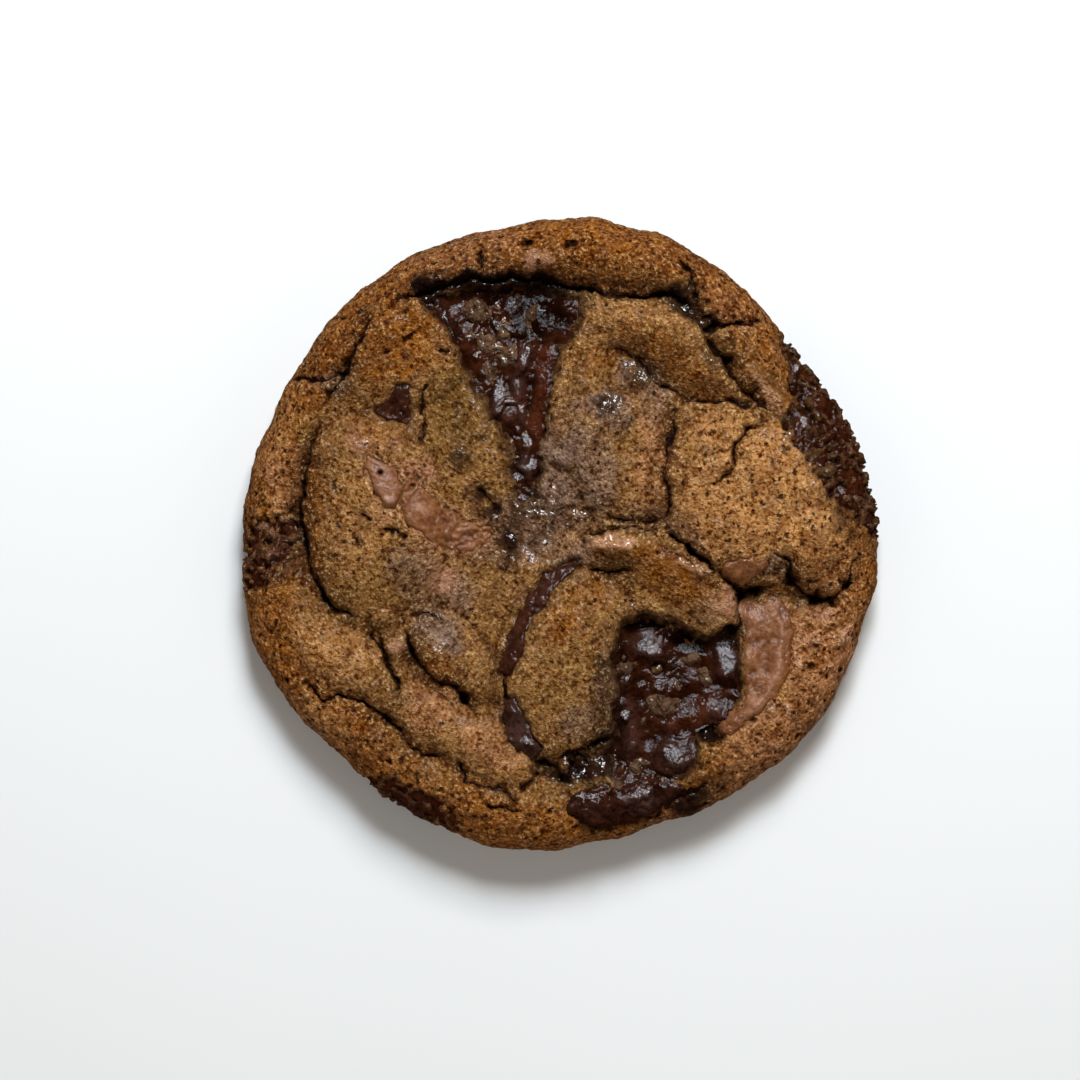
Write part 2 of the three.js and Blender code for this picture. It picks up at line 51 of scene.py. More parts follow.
SIDE_HEIGHT = 5.0  # mean height of the widest point
SIDE_WANDER = 0.9  # how far that height wanders round the cookie
CROWN_HEIGHT = 12.2  # the top before any dome, roll or crease is added
EDGE_ROUND = 8.5  # how far in from the outline the rounded edge reaches
EDGE_POWER = 2.3  # 2 is a plain ellipse, more is squarer
UNDERCUT = 3.0  # how far the underside stands back from the outline
EDGE_WOBBLE = 0.35  # small unevenness of the outline

# Distance from the middle to the outline, every 15 degrees from +X towards +Y.
OUTLINE_RADII = [
    52.0, 51.0, 49.5, 49.0, 50.5, 51.6, 51.7, 50.9, 51.6, 51.6, 51.0, 51.6,
    52.3, 53.4, 52.8, 51.4, 52.2, 52.4, 51.6, 50.2, 50.8, 51.6, 51.9, 51.6,
]

# Domes: middle x, y, half lengths along and across, turn in degrees, height.
DOMES = {
    "left": (-31, 2, 12.5, 18, 4, 3.4),
    "back_left": (-25.5, 29.5, 11, 9.5, 25, 2.2),
    "right": (31, 5.5, 17.5, 15.5, -12, 4.3),
    "right_lobe": (41.5, -3, 7.5, 7.5, 0, 1.7),
    "middle_panel": (11, 11.5, 9, 12, 0, 2.0),
    "middle_ridge": (2, 22, 5.5, 12, -10, 1.6),
    "front": (1, -21.5, 12, 16, -12, 3.5),
    "lump": (-18.5, -19.5, 10, 6, -48, 2.2),
    "nub": (-28, -16.5, 3.6, 4.5, 20, 1.3),
    "middle_hollow": (-6, 3.5, 12, 9, 10, -1.3),
    "inner_hollow": (-14, -9, 9, 11, 20, -0.6),
}

# Rolls: a rounded bank along a line, with its half width and height.
ROLLS = {
    "back_right": ([(3, 36), (13, 34.5), (20, 31.5), (25.5, 26), (30, 22)], 6.5, 3.0),
    "front_arc": ([(4.5, -2.2), (11, -2), (18, -4.5), (23, -8.5), (26, -13)], 6.2, 3.3),
    "front_left": ([(-44, -11), (-37, -19), (-29, -25.5), (-19, -31.5), (-9, -37)], 7.5, 2.6),
    "front_left_inner": ([(-20, -36.5), (-14, -40.5), (-8, -43.5)], 3.6, 0.9),
}

# The rolled rim: start and end angle, inset from the outline, half width and height.
RIM_ROLLS = {
    "back": (52, 128, 5.2, 7.0, 3.1),
    "back_left": (128, 155, 6.0, 7.0, 2.3),
    "left": (155, 196, 5.2, 6.0, 2.0),
    "back_right": (36, 58, 8.0, 9.0, 2.7),
    "front_left": (212, 268, 6.5, 7.5, 1.9),
    "front": (268, 330, 7.0, 7.0, 1.1),
    "right": (330, 362, 3.2, 4.5, 1.2),
}

# Creases: a line along the top, its depth, half width, and how much higher its left side stands.
CREASES = {
    "rim_back": ([(-30, 35.6), (-24, 38.7), (-13, 41.4), (-1, 40.7), (9, 38.4), (18.5, 38.6), (22.3, 35)],
        3.2, 1.4, 0.8),
    "rim_back_left": ([(-38.8, 19.8), (-36, 25), (-33.4, 28.5), (-32.2, 32.4), (-29, 36.2)], 1.9, 1.3, 0),
    "rim_left": ([(-38.8, 19.8), (-41.2, 12), (-42.1, 3), (-41, -4.5), (-38.2, -10.8), (-32.2, -13.5)],
        2.8, 1.4, 0.7),
    "rim_gap_left": ([(-45, 25.4), (-39.5, 25), (-35, 26.2)], 1.7, 1.2, 0),
    "rim_gap_back": ([(-13.6, 46.4), (-13, 42)], 1.3, 1.1, 0),
    "rim_gap_right": ([(22.8, 33.9), (27.5, 33.7), (33.5, 34.8)], 1.7, 1.2, 0),
    "rim_gap_corner": ([(18.8, 44.6), (21, 40.5), (22.3, 35.5)], 1.5, 1.2, 0),
    "roll_back_right": ([(22.5, 33.4), (25, 29.5), (27.8, 25.4), (31.5, 21.2), (36.3, 20)], 1.8, 1.7, 0.4),
    "dome_right_back": ([(18.6, 20.6), (22.5, 21.5), (28, 21), (32, 20.3)], 1.4, 1.2, -0.5),
    "dome_right_left": ([(18.6, 20.6), (17.3, 14), (17, 6), (16, 0.8)], 1.8, 1.2, 0.7),
    "dome_right_front": ([(16, 0.8), (19.5, -1.8), (24, -5.6), (28.4, -9), (35.5, -8.4)], 3, 1.4, 0.9),
    "dome_right_notch": ([(35, -3.8), (36.3, -6.4), (38.5, -9.4), (42.2, -10.6), (44.6, -9.6)],
        1.6, 1.5, 1),
    "dome_right_end": ([(42.6, -10.4), (45.4, -8.8), (47.2, -5), (48.6, -1.6)], 0.8, 1.4, 0.6),
    "dome_right_crack": ([(30.8, 17.4), (27.8, 14.2), (27.9, 11), (25.4, 8.4)], 1, 0.9, 0),
    "panel_front": ([(6.5, 2.8), (11, 2), (15.8, 2.1)], 1.1, 1.2, 0.4),
    "roll_back_foot": ([(7, 31.2), (12, 28), (16, 24), (20.5, 22)], 1.1, 1.8, 0.4),
    "lump_front": ([(-25.4, -13.4), (-24.6, -19.6), (-21, -23.6), (-16.6, -25.4), (-13.6, -30)],
        1.8, 1.2, 0.9),
    "lump_back": ([(-25.4, -13.4), (-22, -12.8), (-18.5, -13.6)], 0.9, 1.2, 0),
    "nub_left": ([(-32.2, -13.5), (-30, -18.4), (-27.6, -21.4), (-26.9, -28)], 1.2, 1.2, 0),
    "front_left_roll": ([(-43, -22), (-39, -26.3), (-35.5, -26), (-28, -30.2), (-22.5, -35.6), (-18, -36.4)],
        1.5, 1.2, 0.6),
    "front_left_inner": ([(-18, -36.4), (-14.6, -40.2), (-9.6, -41.8), (-7.4, -44.4)], 1.3, 1.2, 0.3),
    "front_dome_foot": ([(-5, -36.8), (-1, -37.2), (3.5, -35.6), (8.4, -31.4)], 2, 1.2, 0.8),
    "front_arc_back": ([(3.4, -1.6), (5.6, 0.2), (11, 0.9), (16, 0.2)], 1.3, 1.2, -0.4),
    "nose_right": ([(28.4, -8.8), (29.3, -11.5), (28.8, -14.4), (26.4, -16.4)], 2.4, 1, -0.5),
    "front_arc_foot": ([(4, -5.4), (8, -6.4), (12, -5.8)], 1.2, 1.3, 0.3),
}

# Fine cracks in the crust: a line, its depth and half width. They are too narrow for the part's facets.
CRACKS = {
    "right_dome_a": ([(33, 19), (31, 17.3), (30, 16.5), (28.5, 15), (27.5, 14), (27.8, 12), (27.5, 10.5)],
        1.4, 0.42),
    "right_dome_b": ([(27.5, 10.5), (26.5, 9.3), (25, 8), (24, 7.7)], 1.2, 0.4),
    "right_dome_c": ([(26.5, 8.7), (27, 7.5)], 0.9, 0.35),
    "left_plate_a": ([(-29.5, 29.5), (-27.5, 30)], 1, 0.4),
    "left_plate_b": ([(-26, 31), (-24, 32.3), (-23, 33)], 0.8, 0.35),
    "left_plate_c": ([(-20, 29.9), (-18.5, 29.9)], 0.9, 0.4),
    "left_plate_d": ([(-21, 25), (-22.5, 23.5), (-22.5, 20), (-22.6, 17), (-22.3, 15.5), (-24, 14.3)],
        0.9, 0.4),
    "left_dome_a": ([(-33, 3.8), (-32, 3), (-31, 1.5)], 0.8, 0.35),
    "left_dome_b": ([(-34, 0), (-33.3, -1), (-32.8, -2.2)], 0.7, 0.35),
    "left_dome_c": ([(-29.5, 0.2), (-27.5, 0.2), (-26, -0.3), (-25, -1)], 0.9, 0.35),
    "rim_back_a": ([(-13.5, 46.5), (-13.3, 44), (-13, 42.5)], 1.3, 0.45),
    "rim_back_b": ([(5, 49), (5, 47)], 0.7, 0.35),
    "rim_back_c": ([(19, 45), (20, 42.5), (21, 40.5), (20, 39)], 1.3, 0.45),
    "front_a": ([(-13, -43.5), (-9, -44.5), (-6.5, -45)], 1.2, 0.45),
    "front_b": ([(-4, -38.5), (-5, -40), (-7, -41.5)], 1.2, 0.5),
    "centre_a": ([(-14, 7.5), (-12.5, 6), (-11, 4), (-10, 2.5)], 1, 0.45),
    "notch": ([(34.5, -3), (36.5, -5), (36.5, -7.5)], 1.5, 0.5),
    "left_band": ([(-30, -15), (-29.6, -17.5), (-29, -20), (-27.8, -22.4), (-27, -25), (-27, -28)],
        1.1, 0.45),
    "vein_a": ([(-9.3, -22), (-9.6, -24.4), (-9, -27.4)], 0.9, 0.45),
}

# Open holes in the crust: x, y, radius and depth.
HOLES = {
    "rim_back_a": (-5.5, 47.2, 1.1, 1.6),
    "rim_back_b": (1.2, 46.7, 1.0, 1.5),
    "fold_back": (26.5, 28, 1.1, 1.8),
    "lump_foot": (-15.5, -26.5, 1.1, 1.6),
    "front_deep": (24.3, -33.3, 1.5, 3.0),
    "rim_gap": (23.6, 33.6, 1.2, 2.0),
    "nose_gap": (29.2, -9.6, 0.9, 1.6),
    "dome_gap_a": (31.4, -9.2, 0.9, 1.4),
    "dome_gap_b": (37.0, -7.4, 1.1, 1.8),
    "dome_gap_c": (41.0, -10.6, 1.3, 1.6),
    "dome_gap_d": (46.0, -8.0, 1.0, 1.6),
}

# ---------------------------------------------------------------- chocolate

DARK = "dark_chocolate"
MILK = "milk_chocolate"


def chocolate(**own):
    """A piece of chocolate: the usual settings with its own in their place. Deep pools wet more dough."""
    stain = 0.95 if own["sunk"] > 0.5 else 0.55
    return dict(kind=DARK, turn=1.0, crumbs=0, ruddy=0, bloom=0, stain=stain, edge=False) | own


# Melted and solid chocolate, one piece for each node it takes the place of. Each has its outline seen from
# above or, for a vein, its middle line and half widths. Before that come:
# sunk: how far its surface lies under the dough, less than 0 where it stands proud
# ragged, turn: how ragged its outline is, and over what width its edge turns down
# billows, small, grains: the heights of its broad billows, small billows and grains
# crumbs: the height of the dough's crumbs in it
# ruddy, bloom, stain: how ruddy it is, how grey with bloom and painted highlight, and how strongly it wets
# the dough round it, from 0 to 1
# edge: whether it runs over the rim
CHOCOLATE = {
    "dark_melt_back": chocolate(
        sunk=1.8, ragged=0.9, turn=1.1, billows=0.4, small=0.28, grains=0.45, crumbs=0.8,
        outline=[
            (-22.2, 37.8), (-18.8, 34.2), (-16.8, 29.6), (-14.4, 23.4), (-11.6, 18.6), (-8.8, 14), (-8, 8),
            (-6.4, 5), (-4, 8), (-3, 16.8), (-2, 24), (-0.4, 30.4), (2.4, 33.6), (2.4, 38.6), (-8, 40.1),
            (-16, 39.5),
        ],
    ),
    "dark_melt_front": chocolate(
        sunk=2.7, ragged=0.8, turn=1.1, billows=0.42, small=0.28, grains=0.2, crumbs=0.6,
        outline=[
            (9.2, -16.2), (11, -13.8), (14, -13), (17, -13.9), (20.4, -15.7), (24, -16.8), (28.6, -15.4),
            (28.9, -21), (28.4, -27), (25.4, -31.4), (22.4, -33.6), (21.6, -38.2), (15, -40.6), (8.6, -40),
            (8.2, -33), (9, -27), (8.4, -20),
        ],
    ),
    "dark_melt_edge": chocolate(
        sunk=0.2, ragged=0.9, billows=0.6, small=0.35, grains=0.2, crumbs=0.7, edge=True,
        outline=[
            (0.8, -44.4), (2.6, -41.8), (6.4, -40.9), (11, -41), (16, -40.6), (20.6, -40.6), (22.6, -42.2),
            (18.6, -44.2), (14, -46.8), (8, -48.2), (3.6, -47.4),
        ],
    ),
    "dark_melt_right": chocolate(
        sunk=0.9, ragged=1.1, billows=0.45, small=0.35, grains=1.0, crumbs=1.9, ruddy=0.2, edge=True,
        outline=[
            (36.2, 33), (36.9, 28.6), (37.8, 22.5), (36, 18), (38.6, 14.4), (41.4, 10.2), (42.4, 6.8),
            (46, 4.6), (48.6, 1.4), (54, -1), (55, 12), (50, 24), (42, 34),
        ],
    ),
    "dark_melt_left": chocolate(
        sunk=0.9, ragged=1.3, billows=0.4, small=0.3, grains=0.9, crumbs=2.2, ruddy=0.9, stain=0.45,
        edge=True,
        outline=[
            (-42.4, 3.8), (-45, 3), (-50, 2), (-54, 1), (-55, -3), (-54, -9.5), (-49, -8.6), (-45.8, -5.6),
            (-43.2, -2),
        ],
    ),
    "dark_melt_front_left": chocolate(
        sunk=0.5, ragged=1.2, billows=0.2, small=0.2, grains=0.25, crumbs=1.5, ruddy=0.9, edge=True,
        outline=[
            (-33.4, -40), (-29, -40.2), (-24.5, -41.6), (-20, -43.8), (-17.6, -46.6), (-19, -52),
            (-30, -50), (-37, -43.5),
        ],
    ),
    "dark_chip_back": chocolate(
        sunk=-0.15, ragged=0.35, turn=0.7, billows=0.45, small=0.5, grains=0.6, ruddy=0.3, bloom=0.25,
        outline=[
            (-30.4, 19.9), (-28, 21.8), (-26.8, 24), (-24.7, 23.8), (-24.5, 20), (-25, 18.1), (-27.5, 18.4),
        ],
    ),
    "dark_vein_back": chocolate(
        sunk=0.35, ragged=0.8, turn=0.7, billows=0.4, small=0.3, grains=0.35, ruddy=0.4, bloom=0.3,
        vein=[(2.8, -4.4), (-2, -7.6), (-5.4, -12.2), (-7.9, -17.4), (-9.3, -22.8)],
        widths=[0.6, 1.3, 1.3, 1.7, 0.8],
    ),
    "dark_vein_front": chocolate(
        sunk=0.25, ragged=0.9, turn=0.7, billows=0.4, small=0.4, grains=0.5, bloom=0.8,
        vein=[(-8.9, -26.6), (-8.1, -29.6), (-6.9, -32.4), (-4.2, -36.4)], widths=[1.0, 2.0, 1.7, 1.2],
    ),
    "milk_chunk_right": chocolate(
        kind=MILK, sunk=0.05, ragged=0.6, turn=0.8, billows=0.5, small=0.3, grains=0.15,
        outline=[
            (29.6, -10.8), (32.2, -11.2), (34.8, -10.2), (37, -13), (37.2, -19), (35.8, -24.5), (32, -29),
            (27.5, -32.5), (25.2, -33), (26.6, -30.4), (29.3, -27), (29.8, -20), (29.4, -14),
        ],
    ),
    "milk_chunk_fold": chocolate(
        kind=MILK, sunk=0.1, ragged=0.7, turn=0.7, billows=0.25, small=0.2, grains=0.1,
        outline=[
            (25.4, -6.7), (27.2, -4.6), (30.5, -4), (33.6, -4.5), (32, -6.6), (29.8, -8.4), (27.4, -8),
        ],
    ),
    "milk_melt_left": chocolate(
        kind=MILK, sunk=0.0, ragged=0.9, turn=0.9, billows=0.3, small=0.25, grains=0.1,
        outline=[
            (-32.2, 11.2), (-31, 12.8), (-28.6, 11.2), (-27, 9.6), (-26.1, 7.4), (-26.6, 5), (-28.2, 4.3),
            (-29.6, 6.4), (-31, 8.6),
        ],
    ),
    "milk_melt_middle": chocolate(
        kind=MILK, sunk=0.05, ragged=1.0, turn=0.9, billows=0.25, small=0.35, grains=0.5,
        outline=[
            (-25.6, 8), (-22.6, 7.2), (-19.8, 3.6), (-17.5, 2.6), (-14, 1.8), (-12, -0.6), (-15.4, -3.4),
            (-19, -2.2), (-23.4, 0.4), (-26.4, 3.8),
        ],
    ),
}

# Islands of wet dough that stand out of the melted chocolate: x, y, half sizes, turn, height over it.
ISLANDS = [
    (-14, 36.2, 2.9, 2.3, -10, 0.8), (-4.6, 35.5, 1.7, 1.6, 0, 0.5), (-13.2, 31.3, 3.6, 2, -20, 0.6),
    (-9, 28.6, 2.2, 2.1, 0, 0.5), (-11.9, 26.4, 1.2, 2.2, 15, 0.2), (-9.4, 32.6, 1.5, 1.2, 0, 0.4),
    (11, -22.4, 1.8, 1.5, 0, 0.6), (16.6, -27.6, 3.3, 2.3, -10, 0.8), (23.2, -23.4, 1.2, 1.8, 0, 0.6),
    (20.8, -20.4, 1.9, 1.2, 20, 0.4), (12.4, -37.6, 1.8, 1.3, 0, 0.4), (18.8, -24.2, 1.2, 0.9, 0, 0.3),
    (13.2, -30.6, 1, 1.2, 0, 0.3), (8.6, -40.6, 1.6, 0.9, 0, 0.5), (-48.2, 0.4, 2.2, 1.1, -20, 0.7),
    (-47.2, -2.8, 3.4, 1.4, 10, 0.6), (-45.2, 2, 1, 0.8, 0, 0.4), (-30.5, -43.4, 3, 1.6, -20, 0.6),
    (-24.5, -45.6, 2.2, 1.4, -25, 0.5), (50, 5, 1.6, 2.6, 0, 0.4), (46.6, 6.4, 1.2, 1.4, 0, 0.3),
    (-19.6, -0.2, 1, 0.6, -50, 0.3),
]

# Lumps of chocolate: x, y, half sizes, turn, height, and how ruddy and how grey, from 0 to 1. The grey is
# bloom and, on lumps that face the light, a painted highlight; it also tilts a lump towards the light.
LUMPS = [
    (-8.5, 19.1, 1.7, 1.6, 0, 0.8, 1, 0.5), (-10.4, 21.6, 1.2, 2.6, -20, 0.8, 0, 1),
    (-6.4, 28.6, 1.4, 2.8, -15, 0.9, 0.2, 0.8), (-6, 11, 1.1, 2.4, 5, 0.7, 0, 1),
    (-7.4, 24, 1, 1.8, 10, 0.6, 0, 0.9), (-1.8, 33, 2.2, 1.6, -30, 0.5, 0.6, 0),
    (-8.4, 36.8, 1.6, 2, 20, 0.5, 0.2, 0), (0.2, 37.4, 1.4, 1.6, 0, 0.5, 0, 0),
    (14.2, -18.6, 2.7, 2, -30, 0.9, 0, 1), (26.9, -20.4, 1.8, 3.4, 5, 1.5, 0, 1),
    (24.9, -28.6, 1.8, 2.5, 15, 0.7, 0.2, 0.5), (18.4, -36, 3.4, 2.8, -15, 1.1, 0, 0.9),
    (5.2, -44.8, 4.2, 2.6, -10, 0.9, 0.1, 0.3), (12.4, -43.6, 3.4, 2.2, 0, 0.8, 0, 0.9),
    (18, -42.4, 2.4, 1.4, 10, 0.4, 0, 0.3), (-8, -28.8, 1.7, 1.9, 20, 0.4, 0, 0.5),
    (-6, -33.4, 1.6, 2.2, 35, 0.5, 0, 1), (39.4, 18.4, 1.3, 2.4, 25, 0.5, 0, 0.3),
    (41.6, 12.2, 1, 2.2, 20, 0.4, 0, 0.2), (38, 27, 1, 1.4, 0, 0.5, 0, 0.2),
    (47.6, 8.7, 0.8, 1.6, 15, 0.5, 1, 0), (42.6, 21.6, 1.4, 1.2, 0, 0.4, 0.7, 0),
    (-27.7, 5.6, 0.9, 0.8, 0, 0.5, 0, 1), (34.2, -12.2, 0.9, 0.8, 0, 0.3, 0, 1),
    (30.9, -27.4, 0.9, 0.8, 0, 0.35, 0, 1), (-22.6, 3.8, 1, 1.6, 40, 0.35, 0, 0.6),
    (-29, 8, 2, 3.4, 20, 0.3, 0, 0.6), (32.6, -13, 2, 3, 0, 0.2, 0, 0.5),
]

# Ribbons of chocolate: a line, then half width, height, ruddiness and grey, which is bloom and partly painted
# highlight.
RIBBONS = [
    ([(-0.8, 31), (-2.6, 27.5), (-3.6, 22.5), (-4, 17), (-4.2, 13)], 1.3, 0.6, 0.8, 0),
    ([(-21, 38), (-18.8, 34.8), (-17.4, 30.6)], 1.1, 0.8, 0.1, 0.5),
    ([(-10.9, 18.6), (-10.4, 20.8), (-8.7, 21.8), (-6.8, 20.8), (-6.3, 18.4), (-6.4, 15.6)],
     0.7, 0.6, 0, 0.5),
    ([(10.8, -26.4), (10.5, -31), (11.3, -36.4)], 2, 0.8, 0.3, 0.6),
    ([(15.8, -31.8), (20.4, -30.2), (24.2, -28)], 1.4, 0.35, 0.7, 0),
    ([(34, -11.8), (35.4, -14.6), (35.6, -19), (34.2, -24.2), (30.8, -28.4), (26.6, -32)], 0.8, 0.4, 0, 0.6),
    ([(36.4, -13.4), (37, -18), (36.2, -22.6), (33.6, -27.2)], 1.1, -0.1, 0.9, 0),
]

# Deep places in the chocolate, sunk a little and painted dark as shadow, such as under the nose's ledge: x,
# y, half sizes, turn, depth.
SHADED_DEEPS = [
    (13.6, -15, 4, 1.3, 0, 1), (20, -17.6, 4.4, 1.5, -20, 1), (9.8, -19.6, 1.3, 5, 0, 0.6),
    (15.6, -21.9, 1.7, 1.2, 0, 0.8), (23.4, -32.8, 2.4, 1.4, 10, 0.8), (20.4, -25.8, 3.2, 1.6, 15, 0.5),
    (9.6, -31, 1.4, 7, 0, 0.5), (15.6, -33, 2.2, 1, 20, 0.5), (22.6, -37.6, 1.6, 3.4, 0, 0.5),
    (-10.4, 38.6, 5, 2.2, 0, 0.7), (-2.2, 38.6, 4, 1.6, 0, 0.6), (-17.6, 33.6, 1.2, 3.6, 25, 0.5),
    (-6.8, 32, 2.4, 1.2, 20, 0.4), (-3.6, 35.8, 6.4, 4.6, 0, 0.85), (-10.4, 39.6, 9, 1.2, -4, 0.9),
    (20.5, -42.6, 3, 1.8, 10, 0.5), (4, -47, 4, 1.2, -8, 0.5), (40, 22, 1, 6, 20, 0.4),
    (-46, -4.6, 2.4, 1.4, 10, 0.4),
]

# Slopes of wet chocolate that face the light: x, y, half sizes, turn.
GLEAMS = [
    (14.4, -18.7, 2.2, 1.7, -30), (26.8, -20.4, 2, 3.6, 4), (-6.2, 28.4, 0.8, 2.2, -20),
    (-10.6, 23, 1.1, 2.3, -15), (-10.3, 20.2, 0.5, 1.2, -30), (-8.8, 21.4, 1.3, 0.5, 0),
    (-6.6, 20.2, 0.6, 1.2, 20), (-5.8, 15, 1.1, 2.2, 5), (-4.9, 11.2, 1.1, 1.7, -10),
    (-7.2, 8.8, 1.2, 1.2, 0), (-7.2, 17.2, 0.5, 1, 0), (4.6, -42.7, 3.2, 0.7, 8), (12, -42.3, 2.4, 0.7, 0),
    (18, -35.4, 2.3, 1.4, -15), (24.8, -28.2, 0.7, 1.2, 10), (41.6, 12, 0.5, 1.7, 15),
    (39.3, 18.6, 0.6, 1.4, 20), (38.2, 27, 0.6, 1, 0), (-8, -28.6, 0.9, 1.1, 20), (-6, -33.6, 0.9, 1.4, 35),
    (-18.6, 35.4, 0.5, 1.8, 25), (10.4, -29.6, 0.7, 1.6, 0), (-2.6, 36.4, 0.6, 0.5, 0),
    (10.6, -23.6, 0.6, 1, -30), (22.6, -31.6, 1.4, 0.6, 15), (-13.6, 29, 0.5, 1.2, -30),
]
# Slopes of wet dough that face the light: x, y, half sizes, turn.
DOUGH_GLEAMS = [
    (7.6, 20.6, 2, 2.2, -35), (12.4, 25.6, 2.2, 1.1, -30), (-3.6, 3.4, 2.2, 0.8, 10),
    (2.4, 3.6, 2.4, 0.7, 0), (-8.3, -0.6, 0.8, 1.4, 10), (21, -5, 4.6, 0.5, -26), (7.6, -1, 3.2, 0.6, -4),
    (22.8, 34.6, 1.2, 1, 0), (-20.8, 37, 1.4, 0.6, -45), (1.8, -35.8, 3, 0.5, 22), (7, -37.4, 0.8, 1.4, 0),
    (2.6, -38.6, 1.6, 0.6, 0), (-44, 0.2, 1, 1.6, 0), (-48.9, -5.2, 1, 0.7, 0), (-47.4, -3.6, 0.7, 0.9, 0),
]
GLEAM_SLOPE = 0.37  # how far such a slope falls towards the back

# Pinholes in smooth chocolate, sunk and painted dark as shade: x, y, radius.
PINHOLES = [(-29.4, 9.8, 0.42), (-24.2, 7.6, 0.4), (15.4, -21.8, 0.9)]

# Shares of the drift by which the edges of gleams, islands, and lumps and ribbons are turned ragged.
GLEAM_RAGGED = 0.7
ISLAND_RAGGED = 0.8
FEATURE_RAGGED = 0.5

LUMP_TILT = 0.75  # how much lower the back of a grey lump is, so that it faces the light
POCKET_DEPTH = 1.1  # how far the dough's pocket lies under the chocolate's surface
DEPTH_REACH = 3.0  # how far from a piece's outline depths are worked out
EDGE_SPREAD = 1.3  # how far from a dark piece's outline the dough is ragged
SPOT_REACH = 1.8  # how far from a dark piece its spots lie
SMOOTH_EDGE = 0.8  # milk pieces that are more ragged than this smear the dough round them
SKIN_GRID = 0.22  # spacing of the points of the chocolate's skins
SKIN_MARGIN = 1.6  # how far that grid reaches past a piece's outline
SKIN_THICK = 1.0  # how far their lower face lies under the upper one

# ---------------------------------------------------------------- the crust's own small features

# Bumps of the crust: x, y, half sizes, turn, height. They are a log and a pea of milk chocolate, crumbs
# and lumps.
BUMPS = [
    (-26.9, -17.9, 1.5, 1.7, 0, 1), (-16.9, 12.2, 1.3, 1.5, 0, 0.6), (37, -28.5, 1, 1, 0, 0.6),
    (-0.6, -37.6, 1.7, 1.4, 20, 0.9), (2.2, -36.9, 1.5, 1.4, 0, 0.9), (4.6, -38.6, 1.5, 1.6, 0, 0.9),
    (1, -40, 1.6, 1.3, 0, 0.8), (27, -10.6, 1.2, 3.2, 14, 0.5), (8.2, -1.8, 4.2, 1.5, -4, 0.9),
    (-33, 14.4, 2.6, 1.1, -18, 0.4), (-36.9, 24.6, 2.4, 1.4, 25, 0.9), (-41.4, 14.6, 0.9, 4.4, 10, 0.6),
    (43.6, -13.4, 1.5, 1.2, 20, 0.7), (40.6, -16.6, 1.3, 1.2, 0, 0.6), (38.6, -20.4, 0.7, 1.6, 30, 0.5),
    (45.6, -16.4, 1.2, 1.4, 0, 0.5), (7.2, 20.4, 2.2, 2.6, -40, 0.4), (12.4, 25.6, 2.4, 1.4, -30, 0.5),
    (1, 4.9, 4.8, 1.2, 4, 0.6), (-1.9, 2.6, 2.2, 0.8, 15, 0.4), (-19, -19.2, 2, 1.6, 0, 0.4),
    (-4.2, 44, 2.2, 1.4, 20, 0.3), (36.4, -3.6, 1.4, 1.2, 0, -0.9), (20, 37.8, 1.6, 3.4, 32, -0.7),
    (-8.6, -1, 0.7, 1.8, 10, 0.4), (-7.2, 3.4, 0.9, 2.6, 12, 0.5), (-4, 3.2, 1.2, 0.7, -20, 0.4),
]
